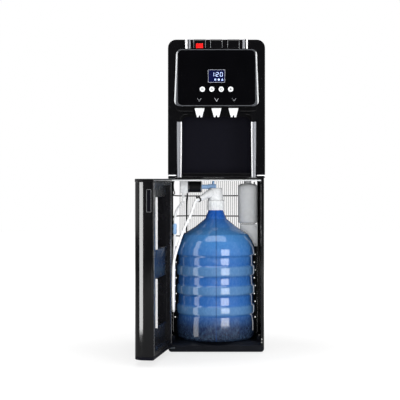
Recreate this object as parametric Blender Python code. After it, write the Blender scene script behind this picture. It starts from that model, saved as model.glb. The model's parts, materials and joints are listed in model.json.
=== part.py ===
"""A free-standing bottom-loading water dispenser with its door standing open.

Everything is in metres. The origin is on the floor under the middle of the cabinet, +X is
to the right of someone who faces the taps, +Y runs to the back and +Z is up.
"""

import math

import bmesh
import bpy
from mathutils import Matrix, Vector

# Cabinet
WIDTH = 0.320
HEIGHT = 1.040
FRONT_Y = -0.186  # front of the head
FRAME_Y = -0.1225  # front edges of the cabinet, behind the door
BACK_Y = 0.165
CORNER_R = 0.027  # the two top corners, seen from the front
SIDE_DEPTH = 0.0097  # how far a side panel's folded edges reach in
BASE_TOP = 0.022  # top of the base's outer rim
FLOOR_Z = 0.0335  # the floor that the bottle stands on
DECK_Z = 0.5742  # underside of the deck over the bottle
SILL_Z = 0.5845  # underside of the plate under the drip tray
HEAD_LOW = 0.5945  # bottom of the head's pillars
SHEET = 0.001
WALL = 0.0025  # moulded walls
GAP = 0.0003  # between pieces that touch

# Head
BAY_HALF = 0.1135
BAY_TOP = 0.787
BAY_BACK = -0.066
PANEL_HALF = 0.1275
PANEL_LOW = 0.8235
PANEL_HIGH = 1.005
TAP_X = {"tap_hot": -0.0560, "tap_room": 0.0, "tap_cold": 0.0560}
TAP_TOP = 0.8142
TAP_TIP = 0.7845
KEY_X = {"dispense_key_hot": -0.0557, "dispense_key_room": -0.0003, "dispense_key_cold": 0.0557}
KEY_WIDTH = 0.040
KEY_LOW = 1.0115
KEY_PIVOT = (0.0, -0.1325, 1.030)
BUTTON_X = (-0.0465, -0.0155, 0.0155, 0.0465)
BUTTON_Z = 0.8763
BUTTON_R = 0.0087

# Door, described as if it were shut
HINGE = (-0.1545, -0.1317)
HINGE_R = 0.0055  # round the hinge side turns on
PIN_R = 0.0025
DOOR_OPEN = 99.0  # degrees
DOOR_LOW = 0.0205
DOOR_HIGH = 0.5815
DOOR_FRONT = -0.190  # the ends of the bowed front, shut
DOOR_BOW = 0.0055  # how much the middle of the front stands out

# Bottle
BOTTLE_Y = 0.006
BOTTLE_R = 0.1355
BOTTLE_FLOOR = FLOOR_Z + GAP
NECK_R = 0.0249
NECK_TOP = 0.524
BOTTLE_WALL = 0.0018

# Pump, pipes and cooling parts
PUMP_Y = 0.045
PUMP_Z = 0.5535
HOSE_R = 0.0045
UNION_XY = (-0.1405, -0.045)
UNION_LOW = 0.3925
UNION_HIGH = 0.4282
SPOUT_ROOT = (-0.0080, 0.0020, 0.5375)
SPOUT_TIP = (-0.0620, -0.0480, 0.5090)

LOOKS = {  # colour, roughness, metallic
    "gloss_black": ((0.010, 0.010, 0.012), 0.12, 0.0),
    "satin_black": ((0.018, 0.018, 0.020), 0.40, 0.0),
    "chrome": ((0.80, 0.80, 0.82), 0.10, 1.0),
    "white": ((0.86, 0.87, 0.88), 0.35, 0.0),
    "light_grey": ((0.55, 0.56, 0.57), 0.40, 0.0),
    "steel": ((0.55, 0.56, 0.58), 0.35, 1.0),
    "wire_grey": ((0.60, 0.61, 0.62), 0.45, 0.0),
    "red": ((0.78, 0.03, 0.03), 0.30, 0.0),
    "display_navy": ((0.010, 0.020, 0.110), 0.10, 0.0),
    "bottle_blue": ((0.080, 0.230, 0.560), 0.12, 0.0),
    "hose_white": ((0.82, 0.85, 0.88), 0.45, 0.0),
    "rubber": ((0.020, 0.020, 0.020), 0.80, 0.0),
    "union_blue": ((0.35, 0.55, 0.78), 0.25, 0.0),
}


# Outlines and solids


def arc(centre, radius, start, end, steps):
    """Points along an arc, with its angles in degrees."""
    points = []
    for i in range(steps + 1):
        angle = math.radians(start + (end - start) * i / steps)
        points.append((centre[0] + radius * math.cos(angle), centre[1] + radius * math.sin(angle)))
    return points


def rectangle(left, right, low, high):
    return [(left, low), (right, low), (right, high), (left, high)]


def rounded(left, right, low, high, low_r, high_r, steps=6):
    """A rectangle with one radius for its two low corners and one for its high corners."""
    points = []
    points += arc((left + low_r, low + low_r), low_r, 180, 270, steps)
    points += arc((right - low_r, low + low_r), low_r, 270, 360, steps)
    points += arc((right - high_r, high - high_r), high_r, 0, 90, steps)
    points += arc((left + high_r, high - high_r), high_r, 90, 180, steps)
    return points


def arched(half, low, high, radius, steps=6):
    """A rectangle about x = 0 with only its top corners rounded."""
    points = [(-half, low), (half, low)]
    points += arc((half - radius, high - radius), radius, 0, 90, steps)
    points += arc((-half + radius, high - radius), radius, 90, 180, steps)
    return points


def offset(points, distance):
    """An open outline moved sideways, to the left of its direction."""
    moved = []
    for i, point in enumerate(points):
        before = Vector(points[max(i - 1, 0)])
        after = Vector(points[min(i + 1, len(points) - 1)])
        along = (after - before).normalized()
        moved.append((point[0] - along.y * distance, point[1] + along.x * distance))
    return moved


def place(axis, u, v, w):
    """The point at (u, v) in the plane across an axis, and w along that axis."""
    return {"X": (w, u, v), "Y": (u, w, v), "Z": (u, v, w)}[axis]


def prism(outline, axis, start, end):
    """A closed outline pushed along an axis."""
    bm = bmesh.new()
    first = [bm.verts.new(place(axis, u, v, start)) for u, v in outline]
    last = [bm.verts.new(place(axis, u, v, end)) for u, v in outline]
    bm.faces.new(first)
    bm.faces.new(last)
    for i in range(len(outline)):
        bm.faces.new((first[i - 1], first[i], last[i], last[i - 1]))
    return bm


def block(x, y, z):
    """A box, from its (low, high) pairs on the three axes."""
    return prism(rectangle(x[0], x[1], y[0], y[1]), "Z", z[0], z[1])


def turned(profile, centre, segments=24):
    """A profile of (radius, height) points, turned about a vertical line."""
    bm = bmesh.new()
    verts = [bm.verts.new((radius, 0.0, height)) for radius, height in profile]
    edges = [bm.edges.new(pair) for pair in zip(verts, verts[1:])]
    bmesh.ops.spin(
        bm, geom=verts + edges, cent=(0, 0, 0), axis=(0, 0, 1), angle=math.tau, steps=segments
    )
    bmesh.ops.remove_doubles(bm, verts=bm.verts[:], dist=1e-6)
    bmesh.ops.translate(bm, vec=(centre[0], centre[1], 0.0), verts=bm.verts[:])
    return bm


def rod(start, end, radius, end_radius=None, segments=16):
    """A round bar, or a cone, between two points."""
    start, end = Vector(start), Vector(end)
    along = end - start
    far = radius if end_radius is None else end_radius
    bm = turned([(0, 0), (radius, 0), (far, along.length), (0, along.length)], (0, 0), segments)
    turn = Vector((0, 0, 1)).rotation_difference(along.normalized()).to_matrix().to_4x4()
    bmesh.ops.transform(bm, matrix=Matrix.Translation(start) @ turn, verts=bm.verts[:])
    return bm


def lattice(xs, zs, y):
    """A flat grid of bars: xs and zs list each bar's two edges, and y is its (front, back)."""
    bm = bmesh.new()
    corner = {}
    for i, x in enumerate(xs):
        for j, z in enumerate(zs):
            for k in (0, 1):
                corner[i, j, k] = bm.verts.new((x, y[k], z))
    filled = {
        (i, j)
        for i in range(len(xs) - 1)
        for j in range(len(zs) - 1)
        if i % 2 == 0 or j % 2 == 0
    }
    for i, j in filled:
        ring = [(i, j), (i + 1, j), (i + 1, j + 1), (i, j + 1)]
        bm.faces.new([corner[a, b, 0] for a, b in ring])
        bm.faces.new([corner[a, b, 1] for a, b in ring])
        beyond = [(i, j - 1), (i + 1, j), (i, j + 1), (i - 1, j)]
        for side, cell in enumerate(beyond):
            if cell not in filled:
                a, b = ring[side], ring[(side + 1) % 4]
                bm.faces.new([corner[a + (0,)], corner[b + (0,)], corner[b + (1,)], corner[a + (1,)]])
    return bm


def bars(low, high, count, thick):
    """Both edges of each of a row of equal bars from low to high."""
    step = (high - low - thick) / (count - 1)
    return [low + i * step + edge for i in range(count) for edge in (0.0, thick)]


def smooth_path(points, spacing):
    """Evenly spread points on a Catmull-Rom curve through the given ones."""
    knots = [Vector(p) for p in points]
    knots = [2 * knots[0] - knots[1], *knots, 2 * knots[-1] - knots[-2]]
    path = [knots[1]]
    for a, b, c, d in zip(knots, knots[1:], knots[2:], knots[3:]):
        steps = max(1, round((c - b).length / spacing))
        for i in range(1, steps + 1):
            t = i / steps
            path.append(
                0.5
                * (
                    2 * b
                    + (c - a) * t
                    + (2 * a - 5 * b + 4 * c - d) * t**2
                    + (3 * b - a - 3 * c + d) * t**3
                )
            )
    return path


# Objects


def finish(obj, look):
    """Give a sub-part its own material."""
    color, roughness, metallic = LOOKS[look]
    material = bpy.data.materials.new(obj.name)
    material.use_nodes = True
    shader = material.node_tree.nodes["Principled BSDF"]
    shader.inputs["Base Color"].default_value = (*color, 1.0)
    shader.inputs["Roughness"].default_value = roughness
    shader.inputs["Metallic"].default_value = metallic
    obj.data.materials.append(material)


def add_object(name, bm):
    """Turn a bmesh into an object in the scene."""
    bmesh.ops.recalc_face_normals(bm, faces=bm.faces[:])
    mesh = bpy.data.meshes.new(name)
    bm.to_mesh(mesh)
    bm.free()
    obj = bpy.data.objects.new(name, mesh)
    bpy.context.collection.objects.link(obj)
    return obj


def add_part(name, bm, look, smooth=False):
    """Make one sub-part, shaded smooth where it is round."""
    obj = add_object(name, bm)
    if smooth:
        obj.data.shade_smooth()
        obj.data.set_sharp_from_angle(angle=math.radians(35))
    finish(obj, look)
    return obj


def combine(part, operation, bm, solver="EXACT"):
    """Cut a shape out of a part, or join it on, with a Boolean."""
    tool = add_object(f"{part.name}_{operation.lower()}_{len(part.modifiers) + 1}", bm)
    tool.hide_render = True
    tool.display_type = "WIRE"
    modifier = part.modifiers.new(operation.title(), "BOOLEAN")
    modifier.operation = operation
    modifier.solver = solver
    modifier.object = tool


def cut(part, *shapes):
    for bm in shapes:
        combine(part, "DIFFERENCE", bm)


def join(part, *shapes):
    for bm in shapes:
        combine(part, "UNION", bm)


def add_pivot(name, location, turn=0.0):
    """An empty on a joint's axis, turned about Z."""
    pivot = bpy.data.objects.new(name, None)
    pivot.empty_display_size = 0.02
    pivot.location = location
    pivot.rotation_euler.z = math.radians(turn)
    bpy.context.collection.objects.link(pivot)
    return pivot


def attach(pivot, *parts):
    """Hang parts, and the tools that cut them, on a pivot without moving them off it."""
    for part in parts:
        tools = [m.object for m in part.modifiers if m.type == "BOOLEAN"]
        for obj in (part, *tools):
            obj.parent = pivot
            obj.location = obj.location - pivot.location


def add_tube(name, points, radius, spacing, look):
    """A flexible tube with closed ends."""
    curve = bpy.data.curves.new(name, "CURVE")
    curve.dimensions = "3D"
    curve.bevel_depth = radius
    curve.bevel_resolution = 2
    curve.use_fill_caps = True
    path = smooth_path(points, spacing)
    spline = curve.splines.new("POLY")
    spline.points.add(len(path) - 1)
    for point, spot in zip(spline.points, path):
        point.co = (*spot, 1.0)
    obj = bpy.data.objects.new(name, curve)
    bpy.context.collection.objects.link(obj)
    finish(obj, look)
    return obj


# Cabinet


def add_base():
    """The moulded base: an outer rim, a raised floor and a middle boss that meets the ground."""
    half, inner = WIDTH / 2, WIDTH / 2 - SIDE_DEPTH - GAP
    low, corner = 0.002, 0.010
    outline = [(-inner, BASE_TOP), (-half, BASE_TOP)]
    outline += arc((-half + corner, low + corner), corner, 180, 270, 4)
    outline += arc((half - corner, low + corner), corner, 270, 360, 4)
    outline += [(half, BASE_TOP), (inner, BASE_TOP), (inner, FLOOR_Z), (-inner, FLOOR_Z)]
    base = add_part("base_pan", prism(outline, "Y", FRAME_Y, BACK_Y), "satin_black")
    slope = [(FRAME_Y - 0.01, BASE_TOP - 0.005), (FRAME_Y + 0.022, FLOOR_Z + 0.0005)]
    slope += [(FRAME_Y + 0.022, 0.05), (FRAME_Y - 0.01, 0.05)]
    cut(base, prism(slope, "X", -half - 0.01, half + 0.01))
    rim = 0.012
    hollow = block((-half + rim, half - rim), (FRAME_Y + 0.025, BACK_Y - rim), (0.0, FLOOR_Z - 0.003))
    cut(base, hollow)
    join(base, rod((0, 0, 0), (0, 0, FLOOR_Z - 0.001), 0.030))
    for side in (-1, 1):
        fin = [(-0.102, FLOOR_Z - 0.002), (-0.070, FLOOR_Z - 0.002), (-0.078, 0.050)]
        x = sorted((side * 0.1385, side * 0.1490))
        join(base, prism(fin, "X", x[0], x[1]))


def add_feet():
    """Four round rubber feet inside the base's corners."""
    for row, y in (("front", -0.075), ("rear", 0.130)):
        for side, x in (("left", -0.125), ("right", 0.125)):
            profile = [(0, 0), (0.014, 0), (0.016, 0.002), (0.016, 0.0302), (0, 0.0302)]
            add_part(f"foot_{row}_{side}", turned(profile, (x, y), 16), "rubber", smooth=True)


def add_side_panels():
    """Sheet side panels, with a boxed front edge and a folded rear edge."""
    out, inner = WIDTH / 2, WIDTH / 2 - SIDE_DEPTH
    front, back, lip = FRAME_Y, BACK_Y, 0.020
    outline = [
        (out, front),
        (out, back),
        (inner, back),
        (inner, back - SHEET),
        (out - SHEET, back - SHEET),
        (out - SHEET, front + SHEET),
        (inner + SHEET, front + SHEET),
        (inner + SHEET, front + lip),
        (inner, front + lip),
        (inner, front),
    ]
    for side, name in ((-1, "side_panel_left"), (1, "side_panel_right")):
        plan = [(side * x, y) for x, y in outline]
        bm = prism(plan, "Z", BASE_TOP + GAP, HEIGHT - CORNER_R - GAP)
        add_part(name, bm, "gloss_black")


def add_back():
    """The vented sheet behind the bottle and the cover behind the head."""
    half = WIDTH / 2 - SIDE_DEPTH - GAP
    y = (0.1600, 0.1612)
    low = add_part("lower_back_panel", block((-half, half), y, (FLOOR_Z + GAP, 0.340)), "satin_black")
    vent, rows = 0.0035, 9
    for side in (-1, 1):
        for row in range(rows):
            x = side * (0.140 if row % 2 else 0.143)
            z = 0.085 + row * 0.028
            cut(low, block((x - vent / 2, x + vent / 2), (0.15, 0.17), (z, z + vent)))
    cover = add_part("back_cover", block((-half, half), y, (SILL_Z, HEIGHT - CORNER_R - GAP)), "satin_black")
    for x in (-0.060, -0.020):
        cut(cover, block((x - 0.0098, x + 0.0098), (0.15, 0.17), (0.931, 0.949)))
    cut(cover, rod((0.1385, 0.15, 0.620), (0.1385, 0.17, 0.620), 0.0065))


def add_top_cover():
    """The cap over the cabinet, with the same round corners as the head."""
    half, low = WIDTH / 2, HEIGHT - CORNER_R
    top = add_part(
        "top_cover", prism(arched(half, low, HEIGHT, CORNER_R - 0.0005), "Y", -0.1253, BACK_Y), "gloss_black"
    )
    inside = arched(half - WALL, low - 0.01, HEIGHT - WALL, CORNER_R - WALL)
    cut(top, prism(inside, "Y", -0.14, BACK_Y - WALL))


def add_deck():
    """The sheet deck over the bottle, with its pale front trim."""
    half = WIDTH / 2 - SIDE_DEPTH - GAP
    front, back, top = FRAME_Y + 0.001, 0.1595, SILL_Z - GAP
    tray = [
        (front, DECK_Z),
        (back, DECK_Z),
        (back, top),
        (back - 2 * SHEET, top),
        (back - 2 * SHEET, DECK_Z + 2 * SHEET),
        (front + 2 * SHEET, DECK_Z + 2 * SHEET),
        (front + 2 * SHEET, top),
        (front, top),
    ]
    add_part("compressor_deck", prism(tray, "X", -half, half), "steel")
    y = (front - 0.0025, front - GAP)
    add_part("sill_trim", block((-half, half), y, (0.5738, 0.5785)), "white")


# Head


def add_fascia():
    """The moulded head: pillars, brow, tap pocket and the recesses of the keys."""
    half, back = WIDTH / 2, -0.1256
    skin = 0.0035
    fascia = add_part(
        "front_fascia", prism(arched(half, HEAD_LOW, HEIGHT, CORNER_R), "Y", FRONT_Y, back), "gloss_black"
    )
    cut(
        fascia,
        prism(arched(BAY_HALF, 0.58, BAY_TOP, 0.018), "Y", -0.20, -0.10),
        block((-BAY_HALF, BAY_HALF), (-0.20, -0.160), (0.76, 0.8195)),
        block((-half + skin, half - skin), (FRONT_Y + skin, -0.10), (0.8225, 1.0060)),
        block((-0.110, 0.110), (-0.157, -0.10), (0.7905, 0.8190)),
    )
    for side in (-1, 1):
        x = sorted((side * (BAY_HALF + skin), side * (half - skin)))
        cut(fascia, block(x, (FRONT_Y + skin, -0.10), (HEAD_LOW + skin, 0.8190)))
    for x in KEY_X.values():
        reach = KEY_WIDTH / 2 + 0.0006
        cut(fascia, block((x - reach, x + reach), (-0.20, -0.1285), (1.0088, 1.05)))


def add_bay():
    """The lining behind the taps and the plate that carries the drip tray."""
    out = BAY_HALF + 0.005
    lining = add_part(
        "bay_liner", block((-out, out), (-0.1253, BAY_BACK), (0.5891, 0.7985)), "satin_black"
    )
    inner = out - WALL
    cut(lining, block((-inner, inner), (-0.13, BAY_BACK - WALL), (0.58, 0.7985 - WALL)))
    half, inner = WIDTH / 2 - GAP, WIDTH / 2 - SIDE_DEPTH - GAP
    step = FRAME_Y - GAP
    plan = [(-half, -0.1855), (half, -0.1855), (half, step), (inner, step), (inner, BAY_BACK)]
    plan += [(-inner, BAY_BACK), (-inner, step), (-half, step)]
    add_part("bay_sill", prism(plan, "Z", SILL_Z, 0.5888), "satin_black")
    for side, name in ((-1, "bay_trim_left"), (1, "bay_trim_right")):
        x = sorted((side * 0.1140, side * 0.1305))
        bm = block(x, (FRONT_Y - 0.003, FRONT_Y - GAP), (0.5862, 0.7690))
        add_part(name, bm, "chrome")


def add_top_trims():
    """Bright strips that fold over the top edge, outside the keys."""
    front, thick = FRONT_Y - 0.0018, 0.0015
    outline = [
        (front, 1.0100),
        (front + thick, 1.0100),
        (front + thick, HEIGHT + GAP),
        (-0.130, HEIGHT + GAP),
        (-0.130, HEIGHT + GAP + thick),
        (front, HEIGHT + GAP + thick),
    ]
    for side, name in ((-1, "top_trim_left"), (1, "top_trim_right")):
        x = sorted((side * 0.0862, side * 0.1030))
        add_part(name, prism(outline, "X", x[0], x[1]), "chrome")


def add_control_panel():
    """The gloss panel, its flared bright bezel, the display and four round buttons."""
    back = FRONT_Y - GAP
    half = PANEL_HALF - GAP
    outline = rounded(-half, half, PANEL_LOW + GAP, PANEL_HIGH - GAP, 0.015, 0.015)
    panel = add_part("control_panel", prism(outline, "Y", back - 0.003, back), "gloss_black")
    window = (0.0280, 0.8984, 0.9407)
    wide = window[0] + GAP
    cut(panel, block((-wide, wide), (-0.20, -0.18), (window[1] - GAP, window[2] + GAP)))
    for x in BUTTON_X:
        cut(panel, rod((x, -0.20, BUTTON_Z), (x, -0.18, BUTTON_Z), BUTTON_R + 0.0004, segments=20))
    glass = block((-window[0], window[0]), (back - 0.0028, back - 0.0003), window[1:])
    add_part("display_window", glass, "display_navy")

    low, high = PANEL_LOW - 0.003, PANEL_HIGH + 0.003
    flare = 0.007  # each side stands this much further out at the bottom
    outer = rounded(-0.1325, 0.1325, low, high, 0.017, 0.017)
    outer = [(x + math.copysign(flare, x) * (high - z) / (high - low), z) for x, z in outer]
    bezel = add_part("panel_bezel", prism(outer, "Y", back - 0.0042, back), "chrome")
    hole = rounded(-PANEL_HALF, PANEL_HALF, PANEL_LOW, PANEL_HIGH, 0.015, 0.015)
    cut(bezel, prism(hole, "Y", -0.20, -0.18))

    for i, x in enumerate(BUTTON_X, start=1):
        bm = rod((0, -0.0040, 0), (0, -0.0015, 0), BUTTON_R, segments=20)
        button = add_part(f"control_button_{i}", bm, "white", smooth=True)
        button.location = (x, back, BUTTON_Z)


def add_taps():
    """Three white spouts that taper down to a forked tip."""
    top, tip, fork, slot = 0.0165, 0.0086, 0.0060, 0.0026
    height = TAP_TOP - TAP_TIP
    for name, x in TAP_X.items():
        right = [(slot, fork), (slot, 0), (tip, 0), (top, height)]
        left = [(-u, v) for u, v in reversed(right)]
        outline = [(x + u, TAP_TOP - height + v) for u, v in right + left]
        add_part(name, prism(outline, "Y", -0.1845, -0.1603), "white")


def add_keys():
    """Three push keys that tip about their rear edge, and the lock slide on the hot one."""
    front, rear, top, nose = -0.1880, -0.1300, HEIGHT + 0.0012, 0.006
    outline = [(front, KEY_LOW), (rear, KEY_LOW), (rear, top)]
    outline += arc((front + nose, top - nose), nose, 90, 180, 5)
    for name, x in KEY_X.items():
        pivot = add_pivot(f"{name}_pivot", (x, KEY_PIVOT[1], KEY_PIVOT[2]))
        bm = prism(outline, "X", x - KEY_WIDTH / 2, x + KEY_WIDTH / 2)
        key = add_part(name, bm, "gloss_black")
        attach(pivot, key)
        if name == "dispense_key_hot":
            x_slide, z_slide = x - 0.0004, 1.0192
            bm = block((-0.0115, 0.0115), (-0.0020, 0.0), (-0.0078, 0.0078))
            slide = add_part("child_lock_slider", bm, "red")
            slide.location = (x_slide, front - GAP, z_slide)
            attach(pivot, slide)


def add_drip_tray():
    """A shallow tray with a ledge for its slotted grille."""
    low, high, half = 0.5891, 0.6000, 0.1125
    y = (-0.1850, -0.0690)
    tray = add_part("drip_tray", block((-half, half), y, (low, high)), "satin_black")
    rim, ledge = 0.002, 0.005
    cut(
        tray,
        block((-half + rim, half - rim), (y[0] + rim, y[1] - rim), (0.5976, 0.61)),
        block((-half + ledge, half - ledge), (y[0] + ledge, y[1] - ledge), (low + 0.0015, 0.598)),
    )
    attach(add_pivot("drip_tray_pivot", (0, (y[0] + y[1]) / 2, low)), tray)
    side, front, back = half - rim - GAP, y[0] + rim + GAP, y[1] - rim - GAP
    bm = lattice(bars(-side, side, 12, 0.006), bars(front, back, 4, 0.008), (-0.0020, 0.0))
    bmesh.ops.rotate(bm, cent=(0, 0, 0), matrix=Matrix.Rotation(math.radians(90), 3, "X"), verts=bm.verts[:])
    bmesh.ops.scale(bm, vec=(1, -1, -1), verts=bm.verts[:])
    grille = add_part("drip_grille", bm, "steel")
    grille.location = (0, 0, 0.5979)


# Door


def door_outline(grow=0.0):
    """The shut door seen from above, from the hinge side round the front to the free side."""
    left, right, bull = -WIDTH / 2 - grow, WIDTH / 2 - GAP + grow, 0.034
    front = DOOR_FRONT - grow
    points = arc(HINGE, HINGE_R + grow, 90, 180, 4)
    points += arc((left + 0.012, front + 0.012), 0.012, 180, 262, 5)
    span, last = 0.136, 0.124
    for i in range(9):
        x = -span + (span + last) * i / 8
        points.append((x, front - DOOR_BOW * (1 - (x / span) ** 2)))
    points += arc((right - bull, front + bull), bull, 278, 360, 7)
    turn = HINGE_R + grow
    points += arc((right - turn, HINGE[1]), turn, 0, 90, 4)
    return points


def add_door():
    """The hinged door: bowed skin, pocketed liner and the caps at both ends."""
    pivot = add_pivot("door_pivot", (HINGE[0], HINGE[1], 0.0), -DOOR_OPEN)
    low, high = DOOR_LOW + 0.0095, DOOR_HIGH - 0.010
    outer = door_outline()
    shell = outer + offset(outer, WALL)[::-1]
    skin = add_part("door_outer", prism(shell, "Z", low + GAP, high - GAP), "gloss_black", smooth=True)
    grip = block((0.15, 0.17), (-0.1470, -0.1345), (0.480, 0.547))
    cut(skin, grip)

    inner_y, deep_y = -0.1262, -0.1700
    half = 0.1485
    bm = block((-half, half), (deep_y, inner_y), (low + GAP, high - GAP))
    liner = add_part("door_liner", bm, "satin_black")
    edge = 0.022
    cut(liner, block((-half + edge, half - edge), (-0.1370, -0.12), (0.047, 0.560)))
    for z in ((0.111, 0.2656), (0.359, 0.523)):
        cut(liner, block((-half + edge + 0.004, half - edge - 0.004), (deep_y + WALL, -0.13), z))
    for z in ((low + 0.003, 0.1085), (0.2681, 0.3565), (0.5255, high - 0.003)):
        cut(liner, block((-half + WALL, half - WALL), (deep_y - 0.01, -0.1395), z))
    add_grip_cup(pivot)

    top = add_part("door_top_cap", prism(door_outline(0.001), "Z", high, DOOR_HIGH), "gloss_black")
    bottom = add_part("door_bottom_cap", prism(outer, "Z", DOOR_LOW, low), "satin_black")
    for cap in (top, bottom):
        cut(cap, rod((*HINGE, 0.0), (*HINGE, 0.7), PIN_R + 0.0004))
    attach(pivot, skin, liner, top, bottom)


def add_grip_cup(pivot):
    """The moulded cup behind the finger hole in the door's free edge."""
    x, y, z = (0.1495, 0.1568), (-0.1510, -0.1310), (0.474, 0.553)
    cup = add_part("door_grip_cup", block(x, y, z), "satin_black")
    cut(cup, block((0.1515, 0.16), (y[0] + 0.0035, y[1] - 0.0035), (z[0] + 0.006, z[1] - 0.006)))
    attach(pivot, cup)


def add_hinges():
    """A plate with a pin below the door and another above it."""
    x, y = (-0.1590, -0.1380), (-0.1420, FRAME_Y - GAP)
    low = add_part("hinge_bracket_lower", block(x, y, (0.0150, 0.0190)), "steel")
    join(low, rod((*HINGE, 0.0180), (*HINGE, 0.0280), PIN_R))
    high = add_part("hinge_bracket_upper", block(x, y, (0.5822, SILL_Z - GAP)), "steel")
    join(high, rod((*HINGE, 0.5740), (*HINGE, 0.5830), PIN_R))


# Bottle and probe


def bottle_profile():
    """The bottle's outer wall, from the middle of its base up to the mouth."""
    rib, waist = BOTTLE_R, 0.1300
    points = [(0.0, 0.0395), (0.098, 0.0395), (0.112, BOTTLE_FLOOR), (0.122, BOTTLE_FLOOR)]
    points += [(0.1315, 0.0420), (0.1335, 0.0560), (0.1335, 0.0920)]
    for low, high in ((0.1246, 0.1485), (0.1920, 0.2165), (0.2560, 0.2830)):
        points += [(waist, low - 0.0075), (rib, low), (rib, high), (waist, high + 0.0075)]
    points += [(waist, 0.3160), (0.1359, 0.3235), (0.1336, 0.3466), (0.1250, 0.3690)]
    points += [(0.1106, 0.3920), (0.0714, 0.4154), (0.0369, 0.4433), (NECK_R, 0.4740)]
    points += [(NECK_R, NECK_TOP)]
    return points


def add_bottle():
    """A hollow ribbed bottle, open at its neck."""
    outer = bottle_profile()
    inner = [(max(r - BOTTLE_WALL, 0.0), z) for r, z in outer if r > 0.125 or z > 0.3]
    inner = [(0.0, 0.0415), (0.1180, 0.0415), *inner[1:]]
    bm = turned(outer + inner[::-1], (0.0, 0.0), 24)
    bottle = add_part("water_bottle", bm, "bottle_blue", smooth=True)
    skirt, top = 0.0300, 0.5496
    profile = [(0, 0.5262), (0.0254, 0.5262), (0.0254, 0.4735), (skirt, 0.4735), (skirt, 0.5070)]
    profile += [(0.0245, 0.5100), (0.0235, 0.5460), (0.0205, top), (0, top)]
    cap = add_part("bottle_cap", turned(profile, (0, 0), 24), "white", smooth=True)
    middle = Vector((0, BOTTLE_Y, 0))
    spout = rod(Vector(SPOUT_ROOT) - middle, Vector(SPOUT_TIP) - middle, 0.0120, 0.0070, segments=20)
    combine(cap, "UNION", spout, solver="MANIFOLD")
    tube = add_part("dip_tube", rod((0, 0, 0.0480), (0, 0, 0.5257), 0.0050), "white", smooth=True)
    for part in (bottle, cap, tube):
        tools = [m.object for m in part.modifiers]
        for obj in (part, *tools):
            obj.location.y = BOTTLE_Y


def add_hose():
    """The supply hose: out of the cap, down beside the bottle and back up to the union."""
    tip = Vector(SPOUT_TIP)
    along = (tip - Vector(SPOUT_ROOT)).normalized()
    route = [
        tip + 0.0005 * along,
        tip + 0.0120 * along,
        (-0.0860, -0.0700, 0.4600),
        (-0.1075, -0.0850, 0.4150),
        (-0.1270, -0.0950, 0.3600),
        (-0.1420, -0.0985, 0.3050),
        (-0.1450, -0.0990, 0.2400),
        (-0.1450, -0.0960, 0.1750),
        (-0.1445, -0.0850, 0.1430),
        (-0.1440, -0.0700, 0.1330),
        (-0.1440, -0.0560, 0.1430),
        (-0.1440, -0.0470, 0.1750),
        (-0.1435, -0.0445, 0.2500),
        (-0.1425, -0.0445, 0.3300),
        (*UNION_XY, UNION_LOW - 0.0120),
        (*UNION_XY, UNION_LOW - GAP),
    ]
    add_tube("supply_hose", route, HOSE_R, 0.022, "hose_white")
    body = [(0, UNION_LOW), (0.0056, UNION_LOW), (0.0070, 0.3990), (0.0070, 0.4070)]
    body += [(0.0060, 0.4080), (0.0060, 0.4130), (0.0070, 0.4140), (0.0070, 0.4220)]
    body += [(0.0056, UNION_HIGH), (0, UNION_HIGH)]
    add_part("hose_union", turned(body, UNION_XY, 16), "union_blue", smooth=True)
    rise = [
        (*UNION_XY, UNION_HIGH + GAP),
        (*UNION_XY, UNION_HIGH + 0.0100),
        (-0.1360, -0.0200, 0.4700),
        (-0.1230, 0.0250, 0.4910),
        (-0.1130, PUMP_Y, 0.5060),
        (-0.1130, PUMP_Y, 0.5147),
    ]
    add_tube("pump_inlet_tube", rise, 0.0040, 0.012, "hose_white")


# Inside


def add_pump():
    """The pump that hangs under the deck: head, motor and outlet valve."""
    bm = block((-0.1230, -0.0965), (PUMP_Y - 0.015, PUMP_Y + 0.015), (0.5320, 0.5737))
    head = add_part("pump_head", bm, "white")
    join(head, rod((-0.1130, PUMP_Y, 0.5150), (-0.1130, PUMP_Y, 0.5400), 0.0050))
    bm = rod((-0.0962, PUMP_Y, PUMP_Z), (-0.0490, PUMP_Y, PUMP_Z), 0.0195, segments=20)
    add_part("pump_motor", bm, "satin_black", smooth=True)
    bm = rod((-0.0487, PUMP_Y, PUMP_Z), (-0.0234, PUMP_Y, PUMP_Z), 0.0075)
    valve = add_part("check_valve", bm, "union_blue", smooth=True)
    join(
        valve,
        rod((-0.0250, PUMP_Y, PUMP_Z), (0.0025, PUMP_Y, PUMP_Z), 0.0090),
        rod((-0.0080, PUMP_Y, 0.5560), (-0.0080, PUMP_Y, 0.5738), 0.0040, segments=12),
    )


def domed(radius, low, high, dome, neck=0.0):
    """A vessel's profile with bowed ends."""
    points = [(0, low), (0.6 * radius, low + 0.2 * dome), (0.92 * radius, low + 0.6 * dome)]
    points += [(radius, low + 1.2 * dome), (radius, high - 1.2 * dome)]
    points += [(0.92 * radius, high - 0.6 * dome), (0.6 * radius, high - 0.2 * dome)]
    if neck:
        points += [(neck, high), (neck, high + 0.0105), (0, high + 0.0105)]
    else:
        points += [(0, high)]
    return points


def add_vessels():
    """The tanks and the compressor above the deck, and the canister in the bottle bay."""
    add_part("cold_tank", turned(domed(0.078, 0.8050, 1.0000, 0.012), (0, 0.070)), "steel", smooth=True)
    add_part("hot_tank", turned(domed(0.048, 0.5770, 0.7700, 0.010), (-0.085, 0.070)), "steel", smooth=True)
    bm = turned(domed(0.056, 0.5767, 0.7100, 0.020), (0.070, 0.080))
    add_part("compressor", bm, "satin_black", smooth=True)
    bm = turned(domed(0.0345, 0.4240, 0.5630, 0.006, neck=0.012), (0.1145, 0.100))
    add_part("filter_canister", bm, "light_grey", smooth=True)
    box = block((0.0880, 0.1495), (0.1120, 0.1590), (0.3420, 0.4200))
    add_part("terminal_box", box, "light_grey")


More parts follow.
